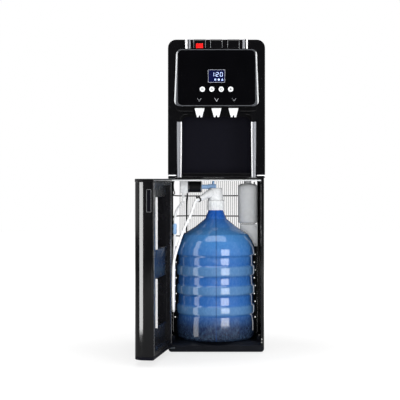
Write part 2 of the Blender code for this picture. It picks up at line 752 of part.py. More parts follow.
def add_condenser():
    """The wire grid on the back, hung on the side panels' rear edges."""
    wires = bars(-0.125, 0.125, 11, 0.0016)
    runs = bars(0.110, 0.900, 5, 0.0048)
    y = (BACK_Y + 0.0005, BACK_Y + 0.0055)
    grid = add_part("condenser", lattice(wires, runs, y), "wire_grey")
    for z in (0.110, 0.8952):
        join(grid, block((-0.155, 0.155), (y[0], y[1] - 0.001), (z + 0.0004, z + 0.0044)))


def add_rear_fittings():
    """Two rocker switches and the mains cord's bush."""
    for name, x in (("hot_switch", -0.060), ("cold_switch", -0.020)):
        bm = block((-0.0092, 0.0092), (-0.0035, 0.0035), (-0.0075, 0.0075))
        rocker = add_part(name, bm, "red" if name == "hot_switch" else "white")
        rocker.location = (x, 0.1620, 0.940)
        rocker.rotation_euler.x = math.radians(-5)
    profile = [(0.0035, -0.010), (0.0060, -0.010), (0.0060, 0.0), (0.0085, 0.0), (0.0070, 0.006)]
    profile += [(0.0035, 0.006), (0.0035, -0.010)]
    bm = turned(profile, (0, 0), 16)
    bmesh.ops.rotate(bm, cent=(0, 0, 0), matrix=Matrix.Rotation(math.radians(-90), 3, "X"), verts=bm.verts[:])
    bush = add_part("cord_bush", bm, "rubber", smooth=True)
    bush.location = (0.1385, 0.1615, 0.620)


def build():
    for obj in list(bpy.data.objects):
        bpy.data.objects.remove(obj, do_unlink=True)
    add_base()
    add_feet()
    add_side_panels()
    add_back()
    add_top_cover()
    add_deck()
    add_fascia()
    add_bay()
    add_top_trims()
    add_control_panel()
    add_taps()
    add_keys()
    add_drip_tray()
    add_door()
    add_hinges()
    add_bottle()
    add_hose()
    add_pump()
    add_vessels()
    add_condenser()
    add_rear_fittings()


build()
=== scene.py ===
import json
import math

import bmesh
import bpy
from mathutils import Matrix, Vector


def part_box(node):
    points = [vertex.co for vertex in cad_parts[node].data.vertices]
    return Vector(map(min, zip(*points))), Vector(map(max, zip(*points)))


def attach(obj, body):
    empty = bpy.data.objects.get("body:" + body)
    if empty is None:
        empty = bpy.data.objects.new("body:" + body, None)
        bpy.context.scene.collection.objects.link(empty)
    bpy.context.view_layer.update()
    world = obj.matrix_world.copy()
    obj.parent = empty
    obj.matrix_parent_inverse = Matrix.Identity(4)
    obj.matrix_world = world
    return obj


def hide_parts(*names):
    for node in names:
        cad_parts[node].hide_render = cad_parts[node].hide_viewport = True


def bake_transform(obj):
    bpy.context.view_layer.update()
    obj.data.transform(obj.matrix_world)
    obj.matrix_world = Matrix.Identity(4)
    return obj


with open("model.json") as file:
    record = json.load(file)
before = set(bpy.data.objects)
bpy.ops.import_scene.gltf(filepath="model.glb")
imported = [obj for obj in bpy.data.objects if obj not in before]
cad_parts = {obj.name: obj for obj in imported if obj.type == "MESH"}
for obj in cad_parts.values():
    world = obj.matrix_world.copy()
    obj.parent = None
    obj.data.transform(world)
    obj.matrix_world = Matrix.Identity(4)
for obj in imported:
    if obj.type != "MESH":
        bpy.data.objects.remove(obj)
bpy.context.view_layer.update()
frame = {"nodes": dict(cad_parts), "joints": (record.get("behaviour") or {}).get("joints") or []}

# The camera stands level with the drip bay, a little left of the middle and some four metres
# off, with its picture shifted down so that the feet are in it.


def add_object(name, data):
    """A new object in the scene."""
    obj = bpy.data.objects.new(name, data)
    bpy.context.collection.objects.link(obj)
    return obj


camera_data = bpy.data.cameras.new("studio_camera")
camera_data.sensor_width = 36.0
camera_data.lens = 109.1
camera_data.shift_y = -0.055
camera = add_object("studio_camera", camera_data)
camera.location = (-0.0544, -4.18, 0.584)
camera.rotation_euler = (math.radians(90), 0, 0)
bpy.context.scene.camera = camera

# The supply hose is soft extruded silicone, 9 mm across. It pushes onto the cap's spout,
# hangs beside the bottle and turns back up into the union on the cabinet's wall.


def linear(code):
    """The linear colour of an sRGB hex code."""
    parts = [int(code[i : i + 2], 16) / 255 for i in (1, 3, 5)]
    return tuple(c / 12.92 if c <= 0.04045 else ((c + 0.055) / 1.055) ** 2.4 for c in parts) + (1.0,)


def set_inputs(node, values):
    """Set a node's inputs, by name or by place."""
    for key, value in values.items():
        node.inputs[key].default_value = value


def add_node(tree, kind, values=None, links=None, feeds=None, **settings):
    """Add a node with its settings, its input values, the sockets that feed it and those it feeds."""
    node = tree.nodes.new(kind)
    for name, value in settings.items():
        setattr(node, name, value)
    set_inputs(node, values or {})
    for key, source in (links or {}).items():
        tree.links.new(source, node.inputs[key])
    for key, socket in (feeds or {}).items():
        tree.links.new(node.outputs[key], socket)
    return node


def start_material(name, **values):
    """A material, its node tree, its Principled shader and a coordinate in metres."""
    material = bpy.data.materials.new(name)
    material.use_nodes = True
    tree = material.node_tree
    where = add_node(tree, "ShaderNodeTexCoord").outputs["Object"]
    shader = tree.nodes["Principled BSDF"]
    set_inputs(shader, {key.replace("_", " ").title().replace("Ior", "IOR"): v for key, v in values.items()})
    return material, tree, shader, where


def smooth_path(points, steps):
    """A Catmull-Rom curve through the points."""
    ends = [Vector(p) for p in points]
    ends = [2 * ends[0] - ends[1], *ends, 2 * ends[-1] - ends[-2]]
    path = []
    for a, b, c, d in zip(ends, ends[1:], ends[2:], ends[3:]):
        for i in range(steps):
            t = i / steps
            square, cube = 2 * a - 5 * b + 4 * c - d, 3 * b - a - 3 * c + d
            path.append(0.5 * (2 * b + (c - a) * t + square * t**2 + cube * t**3))
    return path + [ends[-2]]


def sweep(path, radius, sides=14):
    """A closed round bar along a path, whose rings turn no more than the path does."""
    bm = bmesh.new()
    rings = []
    normal = None
    for i, point in enumerate(path):
        along = (path[min(i + 1, len(path) - 1)] - path[max(i - 1, 0)]).normalized()
        if normal is None:
            normal = along.orthogonal()
        normal = (normal - along * normal.dot(along)).normalized()
        across = along.cross(normal)
        ring = []
        for k in range(sides):
            angle = math.tau * k / sides
            ring.append(bm.verts.new(point + radius * (math.cos(angle) * normal + math.sin(angle) * across)))
        rings.append(ring)
    for before, after in zip(rings, rings[1:]):
        for k in range(sides):
            bm.faces.new((before[k - 1], before[k], after[k], after[k - 1]))
    bm.faces.new(rings[0])
    bm.faces.new(rings[-1])
    return bm


def make_mesh(name, bm, material, sharp=40):
    """An object from a bmesh, shaded smooth up to an edge angle in degrees."""
    bmesh.ops.recalc_face_normals(bm, faces=bm.faces[:])
    mesh = bpy.data.meshes.new(name)
    bm.to_mesh(mesh)
    bm.free()
    mesh.materials.append(material)
    mesh.shade_smooth()
    mesh.set_sharp_from_angle(angle=math.radians(sharp))
    return add_object(name, mesh)


# Silicone is milky and lets some light through; its surface is dull with faint flow lines,
# 6 mm apart here so that they show. A Mix node's colours are its inputs 6 and 7, and its
# mixed colour is output 2.
silicone, tree, shader, where = start_material("milky_silicone", ior=1.41, subsurface_weight=0.25)
shader.inputs["Subsurface Radius"].default_value = (0.004, 0.004, 0.004)
flow = add_node(tree, "ShaderNodeTexNoise", {"Scale": 1 / 0.006, "Detail": 3.0}, {"Vector": where})
add_node(
    tree, "ShaderNodeMix", {6: linear("#eef2f6"), 7: linear("#ffffff")}, {0: flow.outputs[0]},
    {2: shader.inputs["Base Color"]}, data_type="RGBA",
)
add_node(
    tree, "ShaderNodeMapRange", {"To Min": 0.32, "To Max": 0.48}, {"Value": flow.outputs[0]},
    {0: shader.inputs["Roughness"]},
)
add_node(
    tree, "ShaderNodeBump", {"Distance": 0.0001, "Strength": 1.0}, {"Height": flow.outputs[0]},
    {0: shader.inputs["Normal"]},
)

SPOUT_ROOT = Vector((-0.0080, 0.0020, 0.5375))
SPOUT_TIP = Vector((-0.0620, -0.0480, 0.5090))
UNION_XY = (-0.1405, -0.045)
UNION_LOW = 0.3925
HOSE_RADIUS = 0.0045
spout_way = (SPOUT_TIP - SPOUT_ROOT).normalized()
hose_route = [
    SPOUT_TIP + 0.0005 * spout_way,
    SPOUT_TIP + 0.0120 * spout_way,
    (-0.0860, -0.0700, 0.4600),
    (-0.1075, -0.0850, 0.4150),
    (-0.1270, -0.0950, 0.3600),
    (-0.1420, -0.0985, 0.3050),
    (-0.1450, -0.0990, 0.2400),
    (-0.1450, -0.0960, 0.1750),
    (-0.1445, -0.0850, 0.1430),
    (-0.1440, -0.0700, 0.1330),
    (-0.1440, -0.0560, 0.1430),
    (-0.1440, -0.0470, 0.1750),
    (-0.1435, -0.0445, 0.2500),
    (-0.1425, -0.0445, 0.3300),
    (*UNION_XY, UNION_LOW - 0.0120),
    (*UNION_XY, UNION_LOW - 0.0003),
]
fine_route = smooth_path(hose_route, 6)
hose = make_mesh("silicone_hose", sweep(fine_route, HOSE_RADIUS), silicone, 80)
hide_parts("supply_hose")
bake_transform(hose)

# The base is one moulding of glass-filled polypropylene, with a rim, a raised floor with
# guide fins for the bottle and a middle boss. Rubber feet push into its corners.


def dress(material, *nodes, bevel=0.0004, segments=2):
    """Give CAD pieces their material, rounded edges and evened shading."""
    for node in nodes:
        obj = frame["nodes"][node]
        obj.data.materials.clear()
        obj.data.materials.append(material)
        obj.data.shade_smooth()
        weld = obj.modifiers.new("weld", "WELD")
        weld.merge_threshold = 0.00001
        flat = obj.modifiers.new("flat_faces", "DECIMATE")
        flat.decimate_type = "DISSOLVE"
        flat.angle_limit = math.radians(0.3)
        edge = obj.modifiers.new("rounded_edges", "BEVEL")
        edge.width = bevel
        edge.segments = segments
        edge.limit_method = "ANGLE"
        edge.angle_limit = math.radians(38)
        obj.modifiers.new("even_shading", "WEIGHTED_NORMAL")


# Moulded polypropylene is a satin blue-black with a fine spark-eroded grain, drawn at 4 mm.
polypropylene, tree, shader, where = start_material("moulded_polypropylene", ior=1.49)
cloud = add_node(tree, "ShaderNodeTexNoise", {"Scale": 1 / 0.060, "Detail": 4.0}, {"Vector": where})
spark = add_node(tree, "ShaderNodeTexNoise", {"Scale": 1 / 0.004, "Detail": 2.0}, {"Vector": where})
add_node(
    tree, "ShaderNodeMix", {6: linear("#07080c"), 7: linear("#0d0f16")}, {0: cloud.outputs[0]},
    {2: shader.inputs["Base Color"]}, data_type="RGBA",
)
add_node(
    tree, "ShaderNodeMapRange", {"To Min": 0.24, "To Max": 0.46}, {"Value": spark.outputs[0]},
    {0: shader.inputs["Roughness"]},
)
add_node(
    tree, "ShaderNodeBump", {"Distance": 0.00012, "Strength": 1.0}, {"Height": spark.outputs[0]},
    {0: shader.inputs["Normal"]},
)
dress(polypropylene, "base_pan", bevel=0.0012)

# Nitrile rubber is dull, warm black and slightly dusty where it rubs the floor.
nitrile, tree, shader, where = start_material("nitrile_rubber", ior=1.52)
dust = add_node(tree, "ShaderNodeTexNoise", {"Scale": 1 / 0.005, "Detail": 5.0}, {"Vector": where})
add_node(
    tree, "ShaderNodeMix", {6: linear("#0e0e0e"), 7: linear("#2b2a28")}, {0: dust.outputs[0]},
    {2: shader.inputs["Base Color"]}, data_type="RGBA",
)
add_node(
    tree, "ShaderNodeMapRange", {"To Min": 0.70, "To Max": 0.92}, {"Value": dust.outputs[0]},
    {0: shader.inputs["Roughness"]},
)
add_node(
    tree, "ShaderNodeBump", {"Distance": 0.0002, "Strength": 1.0}, {"Height": dust.outputs[0]},
    {0: shader.inputs["Normal"]},
)
feet = [f"foot_{row}_{side}" for row in ("front", "rear") for side in ("left", "right")]
dress(nitrile, *feet, bevel=0.0008)

# The side panels are folded steel sheet with boxed front edges, and the top cover is the
# same sheet pressed over the head's corners. Both are sprayed gloss black and screwed on.

# Sprayed enamel over steel: deep black, glossy, with an orange peel whose 2 mm cells are
# drawn at 14 mm so that the reflections waver as on the real sheet.
enamel, tree, shader, where = start_material("black_sprayed_enamel", ior=1.50, coat_weight=0.4)
shader.inputs["Coat Roughness"].default_value = 0.06
peel = add_node(tree, "ShaderNodeTexNoise", {"Scale": 1 / 0.014, "Detail": 1.0}, {"Vector": where})
haze = add_node(tree, "ShaderNodeTexNoise", {"Scale": 1 / 0.110, "Detail": 3.0}, {"Vector": where})
add_node(
    tree, "ShaderNodeMix", {6: linear("#050506"), 7: linear("#0b0b0d")}, {0: haze.outputs[0]},
    {2: shader.inputs["Base Color"]}, data_type="RGBA",
)
add_node(
    tree, "ShaderNodeMapRange", {"To Min": 0.12, "To Max": 0.24}, {"Value": haze.outputs[0]},
    {0: shader.inputs["Roughness"]},
)
add_node(
    tree, "ShaderNodeBump", {"Distance": 0.00015, "Strength": 0.5}, {"Height": peel.outputs[0]},
    {0: shader.inputs["Normal"]},
)
dress(enamel, "side_panel_left", "side_panel_right", bevel=0.0004)
dress(enamel, "top_cover", bevel=0.0010)


def arc(centre, radius, start, end, steps):
    """Points along an arc, with its angles in degrees."""
    points = []
    for i in range(steps + 1):
        angle = math.radians(start + (end - start) * i / steps)
        points.append((centre[0] + radius * math.cos(angle), centre[1] + radius * math.sin(angle)))
    return points


def place(axis, u, v, w):
    """The point at (u, v) in the plane across an axis, and w along that axis."""
    return {"X": (w, u, v), "Y": (u, w, v), "Z": (u, v, w)}[axis]


def slab(bm, outline, axis, start, end):
    """Add a closed outline pushed along an axis to a bmesh."""
    first = [bm.verts.new(place(axis, u, v, start)) for u, v in outline]
    last = [bm.verts.new(place(axis, u, v, end)) for u, v in outline]
    bm.faces.new(first)
    bm.faces.new(last)
    for i in range(len(outline)):
        bm.faces.new((first[i - 1], first[i], last[i], last[i - 1]))
    return first + last


def block(bm, x, y, z):
    """Add a box to a bmesh, from its (low, high) pairs."""
    return slab(bm, [(x[0], y[0]), (x[1], y[0]), (x[1], y[1]), (x[0], y[1])], "Z", *z)


def turn(bm, profile, centre=(0.0, 0.0, 0.0), axis="Z", steps=48):
    """Add a profile of (radius, distance) points, turned about an axis through a centre."""
    rings = []
    for radius, along in profile:
        if radius < 1e-6:
            rings.append([bm.verts.new(Vector(place(axis, 0, 0, along)) + Vector(centre))])
            continue
        ring = []
        for k in range(steps):
            angle = math.tau * k / steps
            spot = place(axis, radius * math.cos(angle), radius * math.sin(angle), along)
            ring.append(bm.verts.new(Vector(spot) + Vector(centre)))
        rings.append(ring)
    for before, after in zip(rings, rings[1:]):
        for k in range(steps):
            corners = [before[(k - 1) % len(before)], before[k % len(before)]]
            corners += [after[k % len(after)], after[(k - 1) % len(after)]]
            unique = list(dict.fromkeys(corners))
            if len(unique) > 2:
                bm.faces.new(unique)
    for ring, (radius, _) in ((rings[0], profile[0]), (rings[-1], profile[-1])):
        if radius >= 1e-6:
            bm.faces.new(ring)


def add_piece(name, bm, material, body, bevel=0.0, segments=2, sharp=40):
    """A new piece on a body, with its edges rounded where a bevel width is given."""
    obj = make_mesh(name, bm, material, sharp)
    if bevel:
        edge = obj.modifiers.new("rounded_edges", "BEVEL")
        edge.width = bevel
        edge.segments = segments
        edge.limit_method = "ANGLE"
        edge.angle_limit = math.radians(38)
        obj.data.shade_smooth()
        obj.modifiers.new("even_shading", "WEIGHTED_NORMAL")
    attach(obj, body)
    return obj


# Bright zinc-plated screws: pale, slightly yellow, with rubbed turning marks.
zinc, tree, shader, where = start_material("zinc_plated_steel", metallic=1.0)
rub = add_node(tree, "ShaderNodeTexNoise", {"Scale": 1 / 0.0015, "Detail": 3.0}, {"Vector": where})
add_node(
    tree, "ShaderNodeMix", {6: linear("#cfd0cc"), 7: linear("#f4f4f0")}, {0: rub.outputs[0]},
    {2: shader.inputs["Base Color"]}, data_type="RGBA",
)
add_node(
    tree, "ShaderNodeMapRange", {"To Min": 0.18, "To Max": 0.40}, {"Value": rub.outputs[0]},
    {0: shader.inputs["Roughness"]},
)
add_node(
    tree, "ShaderNodeBump", {"Distance": 0.0001, "Strength": 1.0}, {"Height": rub.outputs[0]},
    {0: shader.inputs["Normal"]},
)
cabinet_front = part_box("side_panel_left")[0][1]
SCREW_R = 0.0027
SCREW_SIDES = 20
socket_head = [(0.0, -0.0002), (0.0010, -0.0010), (0.6 * SCREW_R, -0.0012), (SCREW_R, -0.0002)]
socket_head += [(SCREW_R, 0.0004), (0.0, 0.0004)]
bm = bmesh.new()
for x in (-0.1530, 0.1520):
    for z in (0.0335, 0.0430):
        turn(bm, socket_head, (x, cabinet_front - 0.0005, z), "Y", SCREW_SIDES)
add_piece("lip_screws", bm, zinc, "cabinet")

# The back is two flat sheets: a vented one behind the bottle, and a cover over the cooling
# parts with holes for the two rocker switches and the mains cord's bush.

# Powder coat: satin black with a 0.5 mm grain, drawn at 5 mm, and faint wipe marks.
powder, tree, shader, where = start_material("black_powder_coat", ior=1.50)
grain = add_node(tree, "ShaderNodeTexVoronoi", {"Scale": 1 / 0.005}, {"Vector": where})
wipe = add_node(tree, "ShaderNodeTexNoise", {"Scale": 1 / 0.150, "Detail": 3.0}, {"Vector": where})
add_node(
    tree, "ShaderNodeMix", {6: linear("#0b0b0c"), 7: linear("#151517")}, {0: wipe.outputs[0]},
    {2: shader.inputs["Base Color"]}, data_type="RGBA",
)
add_node(
    tree, "ShaderNodeMapRange", {"To Min": 0.38, "To Max": 0.58}, {"Value": grain.outputs[0]},
    {0: shader.inputs["Roughness"]},
)
add_node(
    tree, "ShaderNodeBump", {"Distance": 0.00010, "Strength": 1.0}, {"Height": grain.outputs[0]},
    {0: shader.inputs["Normal"]},
)
dress(powder, "lower_back_panel", "back_cover", bevel=0.0003)

# Six sheet screws hold each rear cover's edges to the panels' folded flanges.
back_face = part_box("back_cover")[1][1]
domed_head = [(0.0, 0.0021), (0.0018, 0.0018), (0.0032, 0.0), (0.0, 0.0)]
bm = bmesh.new()
for x in (-0.1425, 0.1425):
    for z in (0.044, 0.325, 0.600, 0.760, 0.900, 0.995):
        turn(bm, domed_head, (x, back_face, z), "Y", SCREW_SIDES)
add_piece("rear_screws", bm, zinc, "cabinet")

# The deck over the bottle is folded sheet, coated like the back, and carries the tanks. A pale
# moulded strip clips over its front edge. The door's two hinge plates are galvanised.

# Hot-dip galvanising leaves 12 mm crystals of slightly different greys.
galvanised, tree, shader, where = start_material("galvanised_sheet", metallic=1.0)
spangle = add_node(tree, "ShaderNodeTexVoronoi", {"Scale": 1 / 0.012}, {"Vector": where})
split = add_node(tree, "ShaderNodeSeparateColor", links={0: spangle.outputs["Color"]})
add_node(
    tree, "ShaderNodeMix", {6: linear("#7d8387"), 7: linear("#b3b8bb")}, {0: split.outputs[0]},
    {2: shader.inputs["Base Color"]}, data_type="RGBA",
)
add_node(
    tree, "ShaderNodeMapRange", {"To Min": 0.28, "To Max": 0.52}, {"Value": split.outputs[1]},
    {0: shader.inputs["Roughness"]},
)
add_node(
    tree, "ShaderNodeBump", {"Distance": 0.00008, "Strength": 1.0}, {"Height": spangle.outputs[0]},
    {0: shader.inputs["Normal"]},
)
dress(galvanised, "hinge_bracket_lower", "hinge_bracket_upper", bevel=0.0003)
dress(powder, "compressor_deck", bevel=0.0003)

# White ABS: moulded, near neutral, with a soft gloss and barely seen flow marks at 9 mm.
white_abs, tree, shader, where = start_material("white_moulded_abs", ior=1.54, subsurface_weight=0.08)
shader.inputs["Subsurface Radius"].default_value = (0.002, 0.002, 0.002)
marks = add_node(tree, "ShaderNodeTexNoise", {"Scale": 1 / 0.009, "Detail": 2.0}, {"Vector": where})
add_node(
    tree, "ShaderNodeMix", {6: linear("#d0d2d4"), 7: linear("#e2e4e5")}, {0: marks.outputs[0]},
    {2: shader.inputs["Base Color"]}, data_type="RGBA",
)
add_node(
    tree, "ShaderNodeMapRange", {"To Min": 0.22, "To Max": 0.34}, {"Value": marks.outputs[0]},
    {0: shader.inputs["Roughness"]},
)
add_node(
    tree, "ShaderNodeBump", {"Distance": 0.00006, "Strength": 1.0}, {"Height": marks.outputs[0]},
    {0: shader.inputs["Normal"]},
)
dress(white_abs, "sill_trim", bevel=0.0004)

# The head is one large moulding: two pillars, the brow over the bay and a chin behind the
# taps, polished black. Its lining and the plate under the tray are plainer mouldings.

# Polished black ABS: a mirror-like skin with long low waves from the mould, 45 mm apart.
black_abs, tree, shader, where = start_material("polished_black_abs", ior=1.54)
waves = add_node(tree, "ShaderNodeTexNoise", {"Scale": 1 / 0.045, "Detail": 1.0}, {"Vector": where})
smear = add_node(tree, "ShaderNodeTexNoise", {"Scale": 1 / 0.020, "Detail": 4.0}, {"Vector": where})
add_node(
    tree, "ShaderNodeMix", {6: linear("#040405"), 7: linear("#09090b")}, {0: smear.outputs[0]},
    {2: shader.inputs["Base Color"]}, data_type="RGBA",
)
add_node(
    tree, "ShaderNodeMapRange", {"To Min": 0.05, "To Max": 0.13}, {"Value": smear.outputs[0]},
    {0: shader.inputs["Roughness"]},
)
add_node(
    tree, "ShaderNodeBump", {"Distance": 0.0002, "Strength": 0.4}, {"Height": waves.outputs[0]},
    {0: shader.inputs["Normal"]},
)
dress(black_abs, "front_fascia", bevel=0.0014, segments=3)

# The lining is the same ABS from an etched mould: an even 1 mm texture, drawn at 5 mm.
etched_abs, tree, shader, where = start_material("etched_black_abs", ior=1.54, specular_ior_level=0.06)
etch = add_node(tree, "ShaderNodeTexNoise", {"Scale": 1 / 0.005, "Detail": 3.0}, {"Vector": where})
add_node(
    tree, "ShaderNodeMix", {6: linear("#0c0c11"), 7: linear("#12121a")}, {0: etch.outputs[0]},
    {2: shader.inputs["Base Color"]}, data_type="RGBA",
)
add_node(
    tree, "ShaderNodeMapRange", {"To Min": 0.30, "To Max": 0.46}, {"Value": etch.outputs[0]},
    {0: shader.inputs["Roughness"]},
)
add_node(
    tree, "ShaderNodeBump", {"Distance": 0.00015, "Strength": 1.0}, {"Height": etch.outputs[0]},
    {0: shader.inputs["Normal"]},
)
dress(etched_abs, "bay_liner", bevel=0.0006)
dress(black_abs, "bay_sill", bevel=0.0006)

# Two bright strips run down each side of the bay with a dark groove between them: a broad
# satin one outside and a slim pale one inside. Both draw in towards the bottom.

# Satin silver lacquer: metal flake in a clear binder, so it stays pale from every side.
silver, tree, shader, where = start_material("satin_silver_lacquer", metallic=0.45)
flake = add_node(tree, "ShaderNodeTexNoise", {"Scale": 1 / 0.003, "Detail": 3.0}, {"Vector": where})
add_node(
    tree, "ShaderNodeMix", {6: linear("#8c8e93"), 7: linear("#a6a8ad")}, {0: flake.outputs[0]},
    {2: shader.inputs["Base Color"]}, data_type="RGBA",
)
add_node(
    tree, "ShaderNodeMapRange", {"To Min": 0.26, "To Max": 0.40}, {"Value": flake.outputs[0]},
    {0: shader.inputs["Roughness"]},
)

# The slim strips take a paler copy of the same lacquer, its flake in white: pale trim whose gleam is partly a
# painted highlight.
pearl_painted_gleam, tree, shader, where = start_material("pearl_lacquer_painted_gleam", metallic=0.2)
flake = add_node(tree, "ShaderNodeTexNoise", {"Scale": 1 / 0.003, "Detail": 3.0}, {"Vector": where})
add_node(
    tree, "ShaderNodeMix", {6: linear("#e4e5e7"), 7: linear("#f4f4f6")}, {0: flake.outputs[0]},
    {2: shader.inputs["Base Color"]}, data_type="RGBA",
)
add_node(
    tree, "ShaderNodeMapRange", {"To Min": 0.20, "To Max": 0.32}, {"Value": flake.outputs[0]},
    {0: shader.inputs["Roughness"]},
)


def crowned(side, x_in, x_out, back, front):
    """A strip's section: an arched face on a flat back."""
    points = [(side * x_in, back)]
    for i in range(11):
        angle = math.pi * i / 10
        across = (x_in + x_out) / 2 - (x_out - x_in) / 2 * math.cos(angle)
        points.append((side * across, back + (front - back) * (0.35 + 0.65 * math.sin(angle))))
    return points + [(side * x_out, back)]


GROOVE = 0.0018
SLIM = 0.0048
LEVELS = 12
DRAWN_IN = 0.22
for side, name in ((-1, "left"), (1, "right")):
    low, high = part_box(f"bay_trim_{name}")
    x_in, x_out = min(abs(low[0]), abs(high[0])), max(abs(low[0]), abs(high[0]))
    # The slim inner strip takes the paler lacquer with its painted highlight.
    parts = (("inner", x_in, x_in + SLIM, pearl_painted_gleam), ("outer", x_in + SLIM + GROOVE, x_out, silver))
    for part, start, end, material in parts:
        bm = bmesh.new()
        rings = []
        for k in range(LEVELS + 1):
            z = low[2] + (high[2] - low[2]) * k / LEVELS
            narrower = DRAWN_IN * (1 - k / LEVELS) ** 2
            middle = (x_in + x_out) / 2
            edges = [middle + (x - middle) * (1 - narrower) for x in (start, end)]
            outline = crowned(side, *edges, high[1], low[1])
            rings.append([bm.verts.new((x, y, z)) for x, y in outline])
        for before, after in zip(rings, rings[1:]):
            for i in range(len(before)):
                bm.faces.new((before[i - 1], before[i], after[i], after[i - 1]))
        bm.faces.new(rings[0])
        bm.faces.new(rings[-1])
        add_piece(f"bay_strip_{name}_{part}", bm, material, "cabinet", sharp=60)
    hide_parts(f"bay_trim_{name}")

# A short bright foot strip ends each pillar.
# The foot strips take the paler lacquer with its painted highlight.
FOOT_STRIP_X, FOOT_STRIP_Z = (0.1328, 0.1594), (0.5910, 0.5942)
fascia_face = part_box("front_fascia")[0][1]
bm = bmesh.new()
for side in (-1, 1):
    x = sorted(side * edge for edge in FOOT_STRIP_X)
    block(bm, x, (fascia_face - 0.0012, fascia_face + 0.0002), FOOT_STRIP_Z)
add_piece("pillar_foot_strips", bm, pearl_painted_gleam, "cabinet", bevel=0.0006)


def join_part(bm, part):
    """Add a finished part to a piece's bmesh."""
    mesh = bpy.data.meshes.new("joined_part")
    part.to_mesh(mesh)
    part.free()
    bm.from_mesh(mesh)
    bpy.data.meshes.remove(mesh)


# Raised beads, moulded with the head, turn the corners of the chin and of the bay's top.
BEAD_R = 0.0014
bm = bmesh.new()
for half, foot, top, radius, run in (
    (0.1330, 0.8165, 0.8040, 0.012, 0.078),
    (0.1190, 0.7745, 0.7935, 0.017, 0.096),
):
    turn_up = 1 if top > foot else -1
    centre_x, centre_z = -half + radius, top - turn_up * radius
    for side in (-1, 1):
        path = [Vector((side * half, fascia_face, foot))]
        for i in range(9):
            angle = math.radians(90 * i / 8)
            x = centre_x - radius * math.cos(angle)
            path.append(Vector((-side * x, fascia_face, centre_z + turn_up * radius * math.sin(angle))))
        path.append(Vector((side * run, fascia_face, top)))
        join_part(bm, sweep(path, BEAD_R, 10))
add_piece("head_beads", bm, black_abs, "cabinet", sharp=80)


def inlay(bm, x, low, high):
    """Lay a thin bar down a top strip's face and on over its top."""
    block(bm, x, (low[1] - 0.0003, low[1] + 0.0002), (low[2], high[2] - 0.001))
    block(bm, x, (low[1] + 0.002, high[1]), (high[2] - 0.0002, high[2] + 0.0003))


# Bright strips fold over the top edge outside the keys, each with a dark inlaid groove.
TOP_STRIPS = ("top_trim_left", "top_trim_right")
# The top strips take the paler lacquer with its painted highlight.
dress(pearl_painted_gleam, *TOP_STRIPS, bevel=0.0005)
INLAY = 0.0020
bm = bmesh.new()
for name in TOP_STRIPS:
    low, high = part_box(name)
    middle = (low[0] + high[0]) / 2 + 0.0010
    inlay(bm, (middle - INLAY, middle + INLAY), low, high)
add_piece("top_strip_inlays", bm, black_abs, "cabinet", bevel=0.0001)
# The half nearer the keys is greyer: satin silver laid over the paler lacquer as painted shade.
bm = bmesh.new()
for name in TOP_STRIPS:
    low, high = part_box(name)
    middle = (low[0] + high[0]) / 2
    x = (middle + 0.0028, high[0] - 0.0003) if middle < 0 else (low[0] + 0.0003, middle - 0.0012)
    inlay(bm, x, low, high)
add_piece("top_strip_painted_shade", bm, silver, "cabinet", bevel=0.0001)

# The control panel is black acrylic, held in a flared bright bezel. The display shows
# through a clear window, and white discs above the taps are its four buttons.

# Printed acrylic: flatter and glossier than the head, with a faint cool depth.
acrylic, tree, shader, where = start_material("black_acrylic", ior=1.49, specular_ior_level=0.25)
depth = add_node(tree, "ShaderNodeTexNoise", {"Scale": 1 / 0.070, "Detail": 2.0}, {"Vector": where})
add_node(
    tree, "ShaderNodeMix", {6: linear("#020203"), 7: linear("#050507")}, {0: depth.outputs[0]},
    {2: shader.inputs["Base Color"]}, data_type="RGBA",
)
add_node(
    tree, "ShaderNodeMapRange", {"To Min": 0.04, "To Max": 0.09}, {"Value": depth.outputs[0]},
    {0: shader.inputs["Roughness"]},
)
dress(acrylic, "control_panel", bevel=0.0003)

# Brushed and lacquered aluminium: pale, with fine marks that run along each line.
aluminium, tree, shader, where = start_material("brushed_aluminium", metallic=0.7)
stretch = add_node(tree, "ShaderNodeMapping", {"Scale": (20, 300, 900)}, {"Vector": where})
brush = add_node(tree, "ShaderNodeTexNoise", {"Scale": 1.0, "Detail": 3.0}, {"Vector": stretch.outputs[0]})
add_node(
    tree, "ShaderNodeMix", {6: linear("#a4a7ab"), 7: linear("#cfd1d4")}, {0: brush.outputs[0]},
    {2: shader.inputs["Base Color"]}, data_type="RGBA",
)
add_node(
    tree, "ShaderNodeMapRange", {"To Min": 0.22, "To Max": 0.36}, {"Value": brush.outputs[0]},
    {0: shader.inputs["Roughness"]},
)

# The bezel is smoked chrome. A painted highlight makes each flared side bright near its outer edge, fading to
# smoked chrome over its top and bottom rails and towards the panel.
bezel_painted_highlight, tree, shader, where = start_material("smoked_bezel_painted_highlight", metallic=0.35)
spot = add_node(tree, "ShaderNodeSeparateXYZ", links={0: where})
out = add_node(tree, "ShaderNodeMath", links={0: spot.outputs["X"]}, operation="ABSOLUTE")
bezel_low, bezel_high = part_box("panel_bezel")
FLARE = 0.007
lean = FLARE / (bezel_high[2] - bezel_low[2])
foot_x = bezel_high[0] + lean * bezel_low[2]
rim = add_node(
    tree, "ShaderNodeMath", {1: -lean, 2: foot_x}, {0: spot.outputs["Z"]}, operation="MULTIPLY_ADD"
)
from_rim = add_node(
    tree, "ShaderNodeMath", links={0: rim.outputs[0], 1: out.outputs[0]}, operation="SUBTRACT"
)
# The painted highlight's mask: bright within a few millimetres of each side's outer edge, dark further in.
bright = add_node(
    tree, "ShaderNodeMapRange", {"From Min": 0.0052, "From Max": 0.0016}, {"Value": from_rim.outputs[0]}
)
add_node(
    tree, "ShaderNodeMix", {6: linear("#4a4c50"), 7: linear("#e6e8ea")}, {0: bright.outputs[0]},
    {2: shader.inputs["Base Color"]}, data_type="RGBA",
)
add_node(
    tree, "ShaderNodeMapRange", {"To Min": 0.14, "To Max": 0.30}, {"Value": bright.outputs[0]},
    {0: shader.inputs["Roughness"]},
)
dress(bezel_painted_highlight, "panel_bezel", bevel=0.0015, segments=4)

